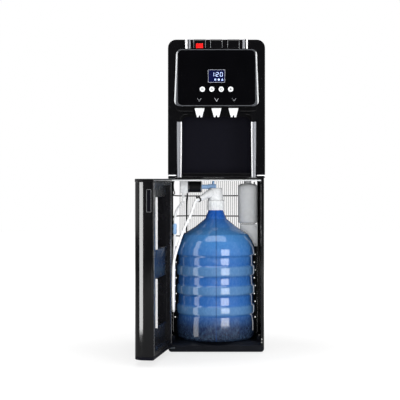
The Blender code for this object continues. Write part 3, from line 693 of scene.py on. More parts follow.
# The display is dark blue glass over a backlit cell.
display_glass, tree, shader, where = start_material("display_glass", ior=1.50)
cell = add_node(tree, "ShaderNodeTexNoise", {"Scale": 1 / 0.015, "Detail": 2.0}, {"Vector": where})
add_node(
    tree, "ShaderNodeMix", {6: linear("#040720"), 7: linear("#070c30")}, {0: cell.outputs[0]},
    {2: shader.inputs["Base Color"]}, data_type="RGBA",
)
add_node(
    tree, "ShaderNodeMapRange", {"To Min": 0.04, "To Max": 0.10}, {"Value": cell.outputs[0]},
    {0: shader.inputs["Roughness"]},
)
set_inputs(shader, {"Emission Color": linear("#0a1148"), "Emission Strength": 0.2})
dress(display_glass, "display_window", bevel=0.0002)

# Lit segments: cold white light, a little uneven across the cell.
lit, tree, shader, where = start_material("lit_segments", roughness=0.4)
uneven = add_node(tree, "ShaderNodeTexNoise", {"Scale": 1 / 0.004, "Detail": 1.0}, {"Vector": where})
add_node(
    tree, "ShaderNodeMix", {6: linear("#a9c4f2"), 7: linear("#dfe9ff")}, {0: uneven.outputs[0]},
    {2: shader.inputs["Base Color"]}, data_type="RGBA",
)
set_inputs(shader, {"Emission Color": linear("#a8c2fa"), "Emission Strength": 0.6})

# Screen-printed inks: dark grey for the marks on the white buttons, mid grey for marks that
# aren't lit, and paler for the middle chevron and the display's border. The screen's threads
# are drawn 3 mm apart.
inks = []
for name, first, second in (
    ("dark_button_ink", "#303236", "#44464a"),
    ("grey_screen_print", "#7d8085", "#979a9f"),
    ("pale_screen_print", "#b9bcc2", "#d9dbe0"),
):
    ink, tree, shader, where = start_material(name, roughness=0.5)
    weft = add_node(tree, "ShaderNodeTexNoise", {"Scale": 1 / 0.003, "Detail": 1.0}, {"Vector": where})
    add_node(
        tree, "ShaderNodeMix", {6: linear(first), 7: linear(second)}, {0: weft.outputs[0]},
        {2: shader.inputs["Base Color"]}, data_type="RGBA",
    )
    inks.append(ink)
button_ink, print_ink, pale_ink = inks

window_low, window_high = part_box("display_window")
PRINT = (-0.0003, 0.0002)
GLASS_Y = (window_low[1] + PRINT[0], window_low[1] + PRINT[1])
SEGMENTS = {"0": "abcdef", "1": "bc", "2": "abged"}


def stroke(bm, start, end, width, y):
    """A thin bar between two points of a flat face that looks along -Y."""
    along = (Vector(end) - Vector(start)).normalized() * width / 2
    side = Vector((-along.y, along.x))
    a, b = Vector(start) - along, Vector(end) + along
    slab(bm, [tuple(p) for p in (a - side, b - side, b + side, a + side)], "Y", *y)


def disc(radius):
    """The section of a thin printed disc, for turning."""
    return [(0.0, PRINT[0]), (radius, PRINT[0]), (radius, PRINT[1]), (0.0, PRINT[1])]


def digit(bm, shape, left, low, width, height, pen):
    """A seven-bar figure on the display."""
    right, middle, top = left + width, low + height / 2, low + height
    bars = {
        "a": ((left, top), (right, top)),
        "b": ((right, top), (right, middle)),
        "c": ((right, middle), (right, low)),
        "d": ((left, low), (right, low)),
        "e": ((left, low), (left, middle)),
        "f": ((left, middle), (left, top)),
        "g": ((left, middle), (right, middle)),
    }
    for name in SEGMENTS[shape]:
        (x1, z1), (x2, z2) = bars[name]
        gap = 0.85 * pen
        if x1 == x2:
            z1, z2 = z1 + math.copysign(gap, z2 - z1), z2 - math.copysign(gap, z2 - z1)
        else:
            x1, x2 = x1 + gap, x2 - gap
        stroke(bm, (x1, z1), (x2, z2), pen, GLASS_Y)


CLOCK_Z, FIGURE_WIDE, FIGURE_HIGH, FIGURE_PEN = 0.9185, 0.0072, 0.0132, 0.0012
bm = bmesh.new()
for figure, left in (("1", -0.0165), ("2", -0.0012), ("0", 0.0122)):
    digit(bm, figure, left, CLOCK_Z, FIGURE_WIDE, FIGURE_HIGH, FIGURE_PEN)
for z in (0.9225, 0.9285):
    turn(bm, disc(0.0010), (-0.0045, window_low[1], z), "Y", 12)
add_piece("clock_figures", bm, lit, "cabinet")

BORDER = 0.0006
bm = bmesh.new()
x, low, high = window_high[0] - BORDER, window_low[2] + BORDER, window_high[2] - BORDER
for z in (low, high):
    stroke(bm, (-x, z), (x, z), BORDER, GLASS_Y)
for upright_x in (-x, x):
    stroke(bm, (upright_x, low), (upright_x, high), BORDER, GLASS_Y)
add_piece("display_border", bm, pale_ink, "cabinet")

# Under the clock stand three lit marks: bars, a disc and a peak.
STATUS_PEN = 0.0014
bars_x, disc_x, x = (-0.0040 + 0.0115 * i for i in range(3))
z = 0.9080
bm = bmesh.new()
for dx in (-0.0022, 0.0, 0.0022):
    stroke(bm, (bars_x + dx, z - 0.0022), (bars_x + dx, z + 0.0022), STATUS_PEN, GLASS_Y)
turn(bm, disc(0.0032), (disc_x, window_low[1], z), "Y", 16)
stroke(bm, (x - 0.0026, z - 0.0024), (x, z + 0.0028), STATUS_PEN, GLASS_Y)
stroke(bm, (x, z + 0.0028), (x + 0.0026, z - 0.0024), STATUS_PEN, GLASS_Y)
stroke(bm, (x - 0.0018, z - 0.0024), (x + 0.0018, z - 0.0024), STATUS_PEN, GLASS_Y)
add_piece("status_marks", bm, lit, "cabinet")

# Three printed chevrons point down at the taps, the middle one brightest.
panel_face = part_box("control_panel")[0][1]
y = (panel_face - 0.0002, panel_face + 0.0002)
CHEVRON_HALF, CHEVRON_TOP, CHEVRON_TIP, CHEVRON_PEN = 0.0062, 0.8464, 0.8366, 0.0008
for name, x, ink in (("hot", -0.0567, print_ink), ("room", 0.0003, pale_ink), ("cold", 0.0574, print_ink)):
    bm = bmesh.new()
    for side in (-1, 1):
        stroke(bm, (x + side * CHEVRON_HALF, CHEVRON_TOP), (x, CHEVRON_TIP), CHEVRON_PEN, y)
    add_piece(f"chevron_{name}", bm, ink, "cabinet")

# The buttons are white caps; each carries a small grey mark, pressed with it.
BUTTONS = [f"control_button_{i}" for i in range(1, 5)]
BUTTON_PEN = 0.0015
dress(white_abs, *BUTTONS, bevel=0.0007, segments=3)
for i, button in enumerate(BUTTONS, start=1):
    low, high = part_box(button)
    x, z = (low[0] + high[0]) / 2, (low[2] + high[2]) / 2
    y = (low[1] - 0.0001, low[1] + 0.0002)
    bm = bmesh.new()
    if i == 1:
        for dx in (-0.0030, 0.0, 0.0030):
            stroke(bm, (x + dx, z - 0.0028), (x + dx, z + 0.0028), BUTTON_PEN, y)
    elif i == 2:
        points = [(0.0, 0.0042), (-0.0034, -0.0028), (0.0034, -0.0028)]
        for a, b in zip(points, points[1:] + points[:1]):
            stroke(bm, (x + a[0], z + a[1]), (x + b[0], z + b[1]), BUTTON_PEN, y)
    elif i == 3:
        ring = arc((x, z), 0.0036, 0, 360, 16)
        for a, b in zip(ring, ring[1:]):
            stroke(bm, a, b, BUTTON_PEN, y)
    else:
        for angle in (0, 60, 120):
            reach = Vector((math.cos(math.radians(angle)), math.sin(math.radians(angle)))) * 0.0038
            stroke(bm, Vector((x, z)) - reach, Vector((x, z)) + reach, BUTTON_PEN, y)
    add_piece(f"button_mark_{i}", bm, button_ink, f"button_{i}")

# The taps are white mouldings that hang from the chin. A dark rubber washer closes each one
# against the pocket's ceiling.
TAPS = ("tap_hot", "tap_room", "tap_cold")
WASHER_R = 0.004
dress(white_abs, *TAPS, bevel=0.0013, segments=3)
for tap in TAPS:
    low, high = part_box(tap)
    x, y = (low[0] + high[0]) / 2, (low[1] + high[1]) / 2
    bm = bmesh.new()
    half, deep = (high[0] - low[0]) / 2 - 0.001, (high[1] - low[1]) / 2 - 0.0015
    outline = arc((x + half - WASHER_R, y + deep - WASHER_R), WASHER_R, 0, 90, 4)
    outline += arc((x - half + WASHER_R, y + deep - WASHER_R), WASHER_R, 90, 180, 4)
    outline += arc((x - half + WASHER_R, y - deep + WASHER_R), WASHER_R, 180, 270, 4)
    outline += arc((x + half - WASHER_R, y - deep + WASHER_R), WASHER_R, 270, 360, 4)
    slab(bm, outline, "Z", high[2] + 0.0002, high[2] + 0.0028)
    add_piece(f"{tap}_washer", bm, nitrile, "cabinet", bevel=0.0004)

# The three push keys fold over the top edge. Pale hairlines are inlaid down both sides of
# each, and the hot one carries a red lock that slides.
KEYS = {"hot": "dispense_key_hot", "room": "dispense_key_room", "cold": "dispense_key_cold"}
dress(black_abs, *KEYS.values(), bevel=0.0009, segments=3)
HAIR = 0.0006
for name, key in KEYS.items():
    low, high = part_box(key)
    bm = bmesh.new()
    for edge in (low[0] + 0.0010, high[0] - 0.0010):
        x = (edge - HAIR, edge + HAIR)
        block(bm, x, (low[1] - 0.0003, low[1] + 0.0003), (low[2] + 0.001, high[2] - 0.006))
        block(bm, x, (low[1] + 0.007, high[1] - 0.002), (high[2] - 0.0003, high[2] + 0.0002))
    add_piece(f"key_hairlines_{name}", bm, aluminium, f"key_{name}")

# Red acetal: waxy, saturated and slightly see-through at its thumb ribs.
acetal, tree, shader, where = start_material("red_acetal", ior=1.48, subsurface_weight=0.1)
shader.inputs["Subsurface Radius"].default_value = (0.002, 0.0005, 0.0005)
wax = add_node(tree, "ShaderNodeTexNoise", {"Scale": 1 / 0.004, "Detail": 2.0}, {"Vector": where})
add_node(
    tree, "ShaderNodeMix", {6: linear("#c40d10"), 7: linear("#ea1f1c")}, {0: wax.outputs[0]},
    {2: shader.inputs["Base Color"]}, data_type="RGBA",
)
add_node(
    tree, "ShaderNodeMapRange", {"To Min": 0.22, "To Max": 0.36}, {"Value": wax.outputs[0]},
    {0: shader.inputs["Roughness"]},
)
add_node(
    tree, "ShaderNodeBump", {"Distance": 0.00005, "Strength": 1.0}, {"Height": wax.outputs[0]},
    {0: shader.inputs["Normal"]},
)
dress(acetal, "child_lock_slider", bevel=0.0006, segments=3)
low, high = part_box("child_lock_slider")
bm = bmesh.new()
middle = (low[0] + high[0]) / 2
for i in range(-2, 3):
    x = middle + 0.0028 * i
    block(bm, (x - 0.0006, x + 0.0006), (low[1] - 0.0004, low[1] + 0.0002), (low[2] + 0.004, high[2] - 0.004))
add_piece("lock_thumb_ribs", bm, acetal, "child_lock", bevel=0.0002)

# The drip tray slides in under the taps and holds a lift-out grille of pressed stainless
# steel: a rim, cross slots and two stiffening ribs.
dress(black_abs, "drip_tray", bevel=0.0005)

# Stainless sheet, brushed left to right with 0.5 mm marks drawn at 1.5 mm.
stainless, tree, shader, where = start_material("brushed_stainless", metallic=1.0)
stretch = add_node(tree, "ShaderNodeMapping", {"Scale": (15, 650, 650)}, {"Vector": where})
brush = add_node(tree, "ShaderNodeTexNoise", {"Scale": 1.0, "Detail": 3.0}, {"Vector": stretch.outputs[0]})
add_node(
    tree, "ShaderNodeMix", {6: linear("#a6a9ab"), 7: linear("#d3d5d6")}, {0: brush.outputs[0]},
    {2: shader.inputs["Base Color"]}, data_type="RGBA",
)
add_node(
    tree, "ShaderNodeMapRange", {"To Min": 0.20, "To Max": 0.36}, {"Value": brush.outputs[0]},
    {0: shader.inputs["Roughness"]},
)
add_node(
    tree, "ShaderNodeBump", {"Distance": 0.00005, "Strength": 1.0}, {"Height": brush.outputs[0]},
    {0: shader.inputs["Normal"]},
)
low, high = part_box("drip_grille")
bm = bmesh.new()
RIM, BARS, BAR, RIB = 0.0060, 27, 0.0016, 0.0028
block(bm, (low[0], high[0]), (low[1], low[1] + RIM), (low[2], high[2]))
block(bm, (low[0], high[0]), (high[1] - RIM, high[1]), (low[2], high[2]))
block(bm, (low[0], low[0] + RIM), (low[1] + RIM, high[1] - RIM), (low[2], high[2]))
block(bm, (high[0] - RIM, high[0]), (low[1] + RIM, high[1] - RIM), (low[2], high[2]))
for i in range(1, BARS):
    x = low[0] + RIM + (high[0] - low[0] - 2 * RIM) * i / BARS
    block(bm, (x - BAR, x + BAR), (low[1] + RIM, high[1] - RIM), (low[2] + 0.0002, high[2] - 0.0001))
for part in (1, 2):
    y = low[1] + (high[1] - low[1]) * part / 3
    block(bm, (low[0] + RIM, high[0] - RIM), (y - RIB, y + RIB), (low[2] + 0.0001, high[2] - 0.0004))
grille = add_piece("slotted_grille", bm, stainless, "drip_grille_body", bevel=0.0003)
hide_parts("drip_grille")

# The door is a bowed black skin over a vacuum-formed liner with two bottle-side pockets,
# closed by a cap at each end. Its grip is a moulded cup behind a slot in the free edge.

# Vacuum-formed styrene: glossier on the crowns and slightly drawn, so its sheen wavers.
styrene, tree, shader, where = start_material("formed_black_styrene", ior=1.59)
drawn = add_node(tree, "ShaderNodeTexNoise", {"Scale": 1 / 0.030, "Detail": 3.0}, {"Vector": where})
add_node(
    tree, "ShaderNodeMix", {6: linear("#0a0a0c"), 7: linear("#131316")}, {0: drawn.outputs[0]},
    {2: shader.inputs["Base Color"]}, data_type="RGBA",
)
add_node(
    tree, "ShaderNodeMapRange", {"To Min": 0.20, "To Max": 0.32}, {"Value": drawn.outputs[0]},
    {0: shader.inputs["Roughness"]},
)
add_node(
    tree, "ShaderNodeBump", {"Distance": 0.0003, "Strength": 0.5}, {"Height": drawn.outputs[0]},
    {0: shader.inputs["Normal"]},
)
dress(styrene, "door_liner", bevel=0.0009, segments=3)
dress(etched_abs, "door_grip_cup", bevel=0.0010)

door_joint = next(joint for joint in frame["joints"] if joint["name"] == "door_hinge")
DOOR_HINGE = Vector((door_joint["pos_m"][0], door_joint["pos_m"][1], 0.0))
DOOR_OPEN = math.radians(door_joint["range_deg"][0])
DOOR_HALF = 0.160
DOOR_FRONT = -0.190
DOOR_BOW = 0.0055
HINGE_R = 0.0055
BULL_R = 0.034


def on_door(bm):
    """Swing a piece drawn on the shut door to where the open door stands."""
    turned = Matrix.Rotation(DOOR_OPEN, 4, "Z")
    swing = Matrix.Translation(DOOR_HINGE) @ turned @ Matrix.Translation(-DOOR_HINGE)
    bmesh.ops.transform(bm, matrix=swing, verts=bm.verts[:])


def door_line(grow):
    """The shut door from above: hinge side, bowed front and the broad bull nose at the grip."""
    left, right, front = -DOOR_HALF - grow, DOOR_HALF - 0.0003 + grow, DOOR_FRONT - grow
    points = arc((DOOR_HINGE.x, DOOR_HINGE.y), HINGE_R + grow, 90, 180, 6)
    points += arc((left + 0.012, front + 0.012), 0.012, 180, 262, 8)
    span, last = 0.136, 0.124
    for i in range(25):
        x = -span + (span + last) * i / 24
        points.append((x, front - DOOR_BOW * (1 - (x / span) ** 2)))
    points += arc((right - BULL_R, front + BULL_R), BULL_R, 278, 360, 24)
    points += arc((right - HINGE_R - grow, DOOR_HINGE.y), HINGE_R + grow, 0, 90, 6)
    return points


def inset(points, distance):
    """An open outline moved sideways, to the left of its direction."""
    moved = []
    for i, point in enumerate(points):
        before, after = Vector(points[max(i - 1, 0)]), Vector(points[min(i + 1, len(points) - 1)])
        along = (after - before).normalized()
        moved.append((point[0] - along.y * distance, point[1] + along.x * distance))
    return moved


SKIN = 0.0025
GRIP_SLOT = (0.150, 0.170), (-0.1470, -0.1345), (0.480, 0.547)
skin_low, skin_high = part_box("door_outer")[0][2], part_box("door_outer")[1][2]
line = door_line(0.0)
bm = bmesh.new()
slab(bm, line + inset(line, SKIN)[::-1], "Z", skin_low, skin_high)
door_skin = make_mesh("bowed_door_skin", bm, black_abs, 30)
bm = bmesh.new()
block(bm, *GRIP_SLOT)
bmesh.ops.recalc_face_normals(bm, faces=bm.faces[:])
cutter_mesh = bpy.data.meshes.new("grip_cutter")
bm.to_mesh(cutter_mesh)
bm.free()
cutter = add_object("grip_cutter", cutter_mesh)
hole = door_skin.modifiers.new("grip_slot", "BOOLEAN")
hole.object = cutter
hole.operation = "DIFFERENCE"
whole = door_skin.evaluated_get(bpy.context.evaluated_depsgraph_get())
slotted = bpy.data.meshes.new_from_object(whole)
door_skin.modifiers.clear()
door_skin.data = slotted
bpy.data.objects.remove(cutter)
bm = bmesh.new()
bm.from_mesh(slotted)
on_door(bm)
bm.to_mesh(slotted)
bm.free()
slotted.shade_smooth()
slotted.set_sharp_from_angle(angle=math.radians(30))
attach(door_skin, "door")
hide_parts("door_outer")

# The caps close the skin's ends, the upper one a millimetre proud all round.
for name, node, grow, material, slot in (
    ("upper_door_cap", "door_top_cap", 0.001, black_abs, "head_gloss_black"),
    ("lower_door_cap", "door_bottom_cap", 0.0, etched_abs, "satin_black"),
):
    low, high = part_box(node)
    bm = bmesh.new()
    slab(bm, door_line(grow), "Z", low[2], high[2])
    on_door(bm)
    cap_piece = add_piece(name, bm, material, "door", bevel=0.0014, segments=3)
    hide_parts(node)

# A bright hairline frames the grip slot in the free edge.
bm = bmesh.new()
x = (0.1594, 0.1600)
front, back, low, high = -0.1476, -0.1339, 0.4790, 0.5480
block(bm, x, (front - 0.0006, front + 0.0002), (low, high))
block(bm, x, (back - 0.0002, back + 0.0006), (low, high))
block(bm, x, (front, back), (low - 0.0006, low + 0.0002))
block(bm, x, (front, back), (high - 0.0002, high + 0.0006))
on_door(bm)
add_piece("grip_hairline", bm, aluminium, "door")

# The skin's rolled rear edges, which close on the cabinet, show as fine pale lines down both sides of the
# liner.
# These pale bars are painted highlights on the rolled edges, not parts of their own.
EDGE_LINES, EDGE_LINE_Y, EDGE_LINE_Z = (-0.1483, 0.1477), (-0.1264, -0.1257), (0.034, 0.568)
bm = bmesh.new()
for x in EDGE_LINES:
    block(bm, (x, x + 0.0008), EDGE_LINE_Y, EDGE_LINE_Z)
on_door(bm)
add_piece("liner_edge_painted_highlights", bm, aluminium, "door", bevel=0.0002)
# A slim pale rail stands upright across each pocket, nine millimetres deep: a painted highlight, a pale bar
# where the pocket's edge shows a bright line of light.
POCKETS = ((0.1105, 0.2661), (0.3585, 0.5235))
RAIL_X, RAIL_Y = (0.0760, 0.0785), (-0.1380, -0.1290)
bm = bmesh.new()
for pocket in POCKETS:
    block(bm, RAIL_X, RAIL_Y, pocket)
on_door(bm)
add_piece("pocket_painted_highlight_rails", bm, pearl_painted_gleam, "door", bevel=0.0006)
# A moulded shelf ridge crosses the liner between the pockets, and a lip closes each pocket.
RIDGES, RIDGE_HALF = (0.1075, 0.2690, 0.3555, 0.5265), 0.0012
RIDGE_X, RIDGE_Y = (-0.1200, 0.1200), (-0.1372, -0.1350)
bm = bmesh.new()
for z in RIDGES:
    block(bm, RIDGE_X, RIDGE_Y, (z - RIDGE_HALF, z + RIDGE_HALF))
on_door(bm)
add_piece("liner_ridges", bm, styrene, "door", bevel=0.0009, segments=3)

# The bottle is the standard five-gallon one, blow-moulded in blue polycarbonate: a footed
# base, three broad ribs between waists, a long shoulder and a short neck, upside up.


def soften(points, reach, steps=4):
    """Round an open outline's corners, starting a set distance from each."""
    path = [Vector(points[0])]
    for before, corner, after in zip(points, points[1:], points[2:]):
        before, corner, after = Vector(before), Vector(corner), Vector(after)
        start = corner + (before - corner).normalized() * min(reach, (before - corner).length / 2.05)
        end = corner + (after - corner).normalized() * min(reach, (after - corner).length / 2.05)
        for i in range(steps + 1):
            t = i / steps
            path.append((1 - t) ** 2 * start + 2 * t * (1 - t) * corner + t * t * end)
    return [tuple(p) for p in path + [Vector(points[-1])]]


# Blue polycarbonate full of water: clear but deep, darker and greyer near the base where
# little light reaches, richest at the neck, with faint vertical draw marks 25 mm apart.
polycarbonate, tree, shader, where = start_material("blue_polycarbonate", ior=1.585, transmission_weight=0.12)
spot = add_node(tree, "ShaderNodeSeparateXYZ", links={0: where})
height = add_node(
    tree, "ShaderNodeMapRange", {"From Min": 0.03, "From Max": 0.53}, {"Value": spot.outputs["Z"]}
)
tones = add_node(tree, "ShaderNodeValToRGB", links={0: height.outputs[0]})
stops = tones.color_ramp.elements
stops[0].position, stops[0].color = 0.04, linear("#1a2338")
stops[1].position, stops[1].color = 1.0, linear("#164a9e")
BANDS = ((0.10, "#1f2c4c"), (0.17, "#305690"), (0.60, "#3a6fb0"), (0.74, "#4480bc"), (0.85, "#1d55ac"))
RIBS = ((0.1246, 0.1485), (0.1920, 0.2165), (0.2560, 0.2830))
for level, tone in BANDS:
    stop = stops.new(level)
    stop.color = linear(tone)
# Painted light and shade: the ribs are painted paler and greyer than the waists between them, with darker
# blue painted just outside each.
RIB_EDGE_PAINTED_SHADE, RIB_PAINTED_LIGHT = "#2c60a6", "#4d78a8"
for low, high in RIBS:
    for z, tone in ((low - 0.006, RIB_EDGE_PAINTED_SHADE), (low, RIB_PAINTED_LIGHT), (high, RIB_PAINTED_LIGHT), (high + 0.006, RIB_EDGE_PAINTED_SHADE)):
        stop = stops.new((z - 0.03) / 0.5)
        stop.color = linear(tone)
draw = add_node(tree, "ShaderNodeMapping", {"Scale": (40, 40, 6)}, {"Vector": where})
ripple = add_node(tree, "ShaderNodeTexNoise", {"Scale": 1.0, "Detail": 2.0}, {"Vector": draw.outputs[0]})
# Light that the water scatters shows as small paler flecks, 6 mm across and drawn upright.
upright = add_node(tree, "ShaderNodeMapping", {"Scale": (170, 170, 90)}, {"Vector": where})
cloud = add_node(tree, "ShaderNodeTexNoise", {"Scale": 1.0, "Detail": 5.0}, {"Vector": upright.outputs[0]})
glow = add_node(
    tree,
    "ShaderNodeMapRange",
    {"From Min": 0.42, "From Max": 0.75, "To Max": 0.11},
    {"Value": cloud.outputs[0]},
)
watery = add_node(
    tree,
    "ShaderNodeMix",
    {7: linear("#8fc0ea")},
    {0: glow.outputs[0], 6: tones.outputs[0]},
    data_type="RGBA",
)
# A parting line from the mould runs down the middle of the front and of the back.
place_x = add_node(tree, "ShaderNodeMath", links={0: spot.outputs["X"]}, operation="ABSOLUTE")
seam = add_node(
    tree,
    "ShaderNodeMapRange",
    {"From Min": 0.0028, "From Max": 0.0012, "To Max": 0.55},
    {"Value": place_x.outputs[0]},
)
add_node(
    tree,
    "ShaderNodeMix",
    {7: linear("#1d3a6b")},
    {0: seam.outputs[0], 6: watery.outputs[2]},
    {2: shader.inputs["Base Color"]},
    data_type="RGBA",
)
add_node(
    tree, "ShaderNodeMapRange", {"To Min": 0.05, "To Max": 0.13}, {"Value": ripple.outputs[0]},
    {0: shader.inputs["Roughness"]},
)
add_node(
    tree, "ShaderNodeBump", {"Distance": 0.00015, "Strength": 0.3}, {"Height": ripple.outputs[0]},
    {0: shader.inputs["Normal"]},
)

BOTTLE_Y = 0.006
RIB_R = 0.1355
WAIST_R = 0.1300
NECK_R = 0.0249
NECK_TOP = 0.524
base_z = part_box("water_bottle")[0][2]
bottle_line = [(0.0, base_z + 0.0055), (0.098, base_z + 0.0055), (0.112, base_z), (0.122, base_z)]
bottle_line += [(0.1315, 0.0420), (0.1335, 0.0560), (0.1335, 0.0920)]
for low, high in RIBS:
    bottle_line += [(WAIST_R, low - 0.0075), (RIB_R, low), (RIB_R, high), (WAIST_R, high + 0.0075)]
bottle_line += [(WAIST_R, 0.3160), (0.1359, 0.3235), (0.1336, 0.3466), (0.1250, 0.3690)]
bottle_line += [(0.1106, 0.3920), (0.0714, 0.4154), (0.0369, 0.4433), (NECK_R, 0.4740), (NECK_R, NECK_TOP)]
outer = soften(bottle_line, 0.0032, 4)
bm = bmesh.new()
turn(bm, outer, (0, BOTTLE_Y, 0), "Z", 128)
mouth = [face for face in bm.faces if len(face.verts) > 4]
bmesh.ops.delete(bm, geom=mouth, context="FACES_ONLY")
bottle = make_mesh("five_gallon_bottle", bm, polycarbonate, 60)
wall = bottle.modifiers.new("blown_wall", "SOLIDIFY")
wall.thickness = 0.0018
wall.offset = -1.0
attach(bottle, "bottle")
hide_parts("water_bottle")

# The probe's cap is white polyethylene: a ribbed skirt that grips the neck, a domed top and
# a tapered spout for the hose. A straight dip tube hangs from it to the bottle's floor.
SKIRT_R, SKIRT_LOW, SKIRT_TOP, CAP_TOP = 0.0300, 0.4735, 0.5070, 0.5496
SLOTS = 16
STEPS = 6 * SLOTS
SLOT_DEPTH = 0.94
bm = bmesh.new()
profile = [(NECK_R + 0.0005, SKIRT_LOW), (SKIRT_R - 0.0006, SKIRT_LOW), (SKIRT_R, SKIRT_LOW + 0.0012)]
profile += [(SKIRT_R, SKIRT_TOP - 0.0030), (SKIRT_R - 0.0008, SKIRT_TOP - 0.0006), (0.0262, 0.5084)]
profile += [(0.0246, 0.5104), (0.0240, 0.5180), (0.0235, 0.5440), (0.0222, 0.5475), (0.0195, CAP_TOP)]
profile.append((0.0, CAP_TOP))
turn(bm, [(0.0, 0.5262), (NECK_R + 0.0005, 0.5262), *profile], (0, BOTTLE_Y, 0), "Z", STEPS)
for vert in bm.verts:
    from_axis = Vector((vert.co.x, vert.co.y - BOTTLE_Y))
    if from_axis.length > SKIRT_R - 0.0001:
        step = round(math.atan2(from_axis.y, from_axis.x) / math.tau * STEPS)
        from_axis *= SLOT_DEPTH if step % 6 == 0 else 1.0
        vert.co.x, vert.co.y = from_axis.x, from_axis.y + BOTTLE_Y
spout = [(0.0, -0.0020), (0.0120, 0.0), (0.0142, 0.010), (0.0140, 0.022), (0.0122, 0.034), (0.0104, 0.046)]
spout += [(0.0094, 0.056), (0.0092, 0.062), (0.0076, 0.064), (0.0068, (SPOUT_TIP - SPOUT_ROOT).length)]
spout_bm = bmesh.new()
turn(spout_bm, [*spout, (0.0, spout[-1][1])], steps=32)
lean_over = Vector((0, 0, 1)).rotation_difference(spout_way).to_matrix().to_4x4()
bmesh.ops.transform(spout_bm, matrix=Matrix.Translation(SPOUT_ROOT) @ lean_over, verts=spout_bm.verts[:])
join_part(bm, spout_bm)
cap = add_piece("ribbed_probe_cap", bm, white_abs, "bottle", sharp=35)
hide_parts("bottle_cap")
dress(white_abs, "dip_tube", bevel=0.0004)
# A black spring clip holds the hose on the spout's end.
bm = bmesh.new()
turn(bm, [(0.0080, -0.0026), (0.0096, -0.0020), (0.0096, 0.0020), (0.0080, 0.0026)], steps=32)
to_clip = Matrix.Translation(SPOUT_TIP - 0.006 * spout_way) @ lean_over
bmesh.ops.transform(bm, matrix=to_clip, verts=bm.verts[:])
for side in (-1, 1):
    ear = bmesh.new()
    block(ear, (-0.0012, 0.0012), (0.0090, 0.0150), (side * 0.0016 - 0.0007, side * 0.0016 + 0.0007))
    bmesh.ops.transform(ear, matrix=to_clip, verts=ear.verts[:])
    join_part(bm, ear)
add_piece("hose_clip", bm, nitrile, "bottle", bevel=0.0003)

# The quick union is a pale blue acetal body that snaps together at its middle; a milky
# silicone tube goes on from it to the pump.

# Pale blue acetal: clean, waxy and a little translucent.
blue_acetal, tree, shader, where = start_material("pale_blue_acetal", ior=1.48, subsurface_weight=0.1)
shader.inputs["Subsurface Radius"].default_value = (0.001, 0.002, 0.003)
wax = add_node(tree, "ShaderNodeTexNoise", {"Scale": 1 / 0.005, "Detail": 2.0}, {"Vector": where})
add_node(
    tree, "ShaderNodeMix", {6: linear("#7fa8d6"), 7: linear("#a9c8ea")}, {0: wax.outputs[0]},
    {2: shader.inputs["Base Color"]}, data_type="RGBA",
)
add_node(
    tree, "ShaderNodeMapRange", {"To Min": 0.20, "To Max": 0.34}, {"Value": wax.outputs[0]},
    {0: shader.inputs["Roughness"]},
)
add_node(
    tree, "ShaderNodeBump", {"Distance": 0.00005, "Strength": 1.0}, {"Height": wax.outputs[0]},
    {0: shader.inputs["Normal"]},
)
dress(blue_acetal, "hose_union", "check_valve", bevel=0.0003)
dress(silicone, "pump_inlet_tube", bevel=0.0002)

# The pump hangs from the deck: a white moulded head with screwed ribs, and a black motor
# can with end rings. Its leads run down the back wall, clipped to it.
dress(white_abs, "pump_head", bevel=0.0012)
dress(powder, "pump_motor", bevel=0.0010)
low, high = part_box("pump_head")
x, y = (low[0] + 0.0015, high[0] - 0.0015), (low[1] - 0.0012, low[1] + 0.0003)
bm = bmesh.new()
for i in range(5):
    z = low[2] + 0.0200 + 0.0046 * i
    block(bm, x, y, (z - 0.0008, z + 0.0008))
add_piece("pump_head_ribs", bm, white_abs, "cabinet", bevel=0.0003)
low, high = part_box("pump_motor")
PUMP_Y, PUMP_Z = (low[1] + high[1]) / 2, (low[2] + high[2]) / 2
MOTOR_R = (high[2] - low[2]) / 2
bm = bmesh.new()
for x in (low[0] + 0.003, high[0] - 0.003):
    band = [(MOTOR_R - 0.0006, -0.0016), (MOTOR_R + 0.0005, -0.0012)]
    band += [(MOTOR_R + 0.0005, 0.0012), (MOTOR_R - 0.0006, 0.0016)]
    turn(bm, band, (x, PUMP_Y, PUMP_Z), "X", 40)
add_piece("motor_bands", bm, stainless, "cabinet")

# PVC leads, 5 mm across, glossy black with slight kinks in their sheen.
pvc, tree, shader, where = start_material("black_pvc_sheath", ior=1.53)
kink = add_node(tree, "ShaderNodeTexNoise", {"Scale": 1 / 0.008, "Detail": 2.0}, {"Vector": where})
add_node(
    tree, "ShaderNodeMix", {6: linear("#0a0a0a"), 7: linear("#18181a")}, {0: kink.outputs[0]},
    {2: shader.inputs["Base Color"]}, data_type="RGBA",
)
add_node(
    tree, "ShaderNodeMapRange", {"To Min": 0.30, "To Max": 0.50}, {"Value": kink.outputs[0]},
    {0: shader.inputs["Roughness"]},
)
add_node(
    tree, "ShaderNodeBump", {"Distance": 0.0002, "Strength": 1.0}, {"Height": kink.outputs[0]},
    {0: shader.inputs["Normal"]},
)
wall_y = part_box("lower_back_panel")[0][1]
leads = {
    "motor_lead": [
        (-0.0970, PUMP_Y + 0.012, 0.5340),
        (-0.0990, PUMP_Y + 0.022, 0.5180),
        (-0.1010, 0.090, 0.4950),
        (-0.1020, 0.130, 0.4400),
        (-0.1020, wall_y - 0.006, 0.3600),
        (-0.1020, wall_y - 0.004, 0.2200),
        (-0.1020, wall_y - 0.004, 0.1000),
    ],
    "terminal_lead": [
        (0.1385, 0.1320, 0.5700),
        (0.1400, 0.1350, 0.5200),
        (0.1410, 0.1370, 0.4700),
        (0.1400, 0.1370, 0.4420),
        (0.1380, 0.1360, 0.4210),
    ],
}
LEAD_R = 0.0024
for name, route in leads.items():
    bm = sweep(smooth_path(route, 8), LEAD_R, 12)
    add_piece(name, bm, pvc, "cabinet", sharp=80)
CLIPS, CLIP_X, CLIP_HALF = (0.330, 0.200, 0.120), (-0.1085, -0.0955), 0.0040
bm = bmesh.new()
for z in CLIPS:
    block(bm, CLIP_X, (wall_y - 0.0085, wall_y - 0.0003), (z - CLIP_HALF, z + CLIP_HALF))
add_piece("lead_clips", bm, white_abs, "cabinet", bevel=0.0012)
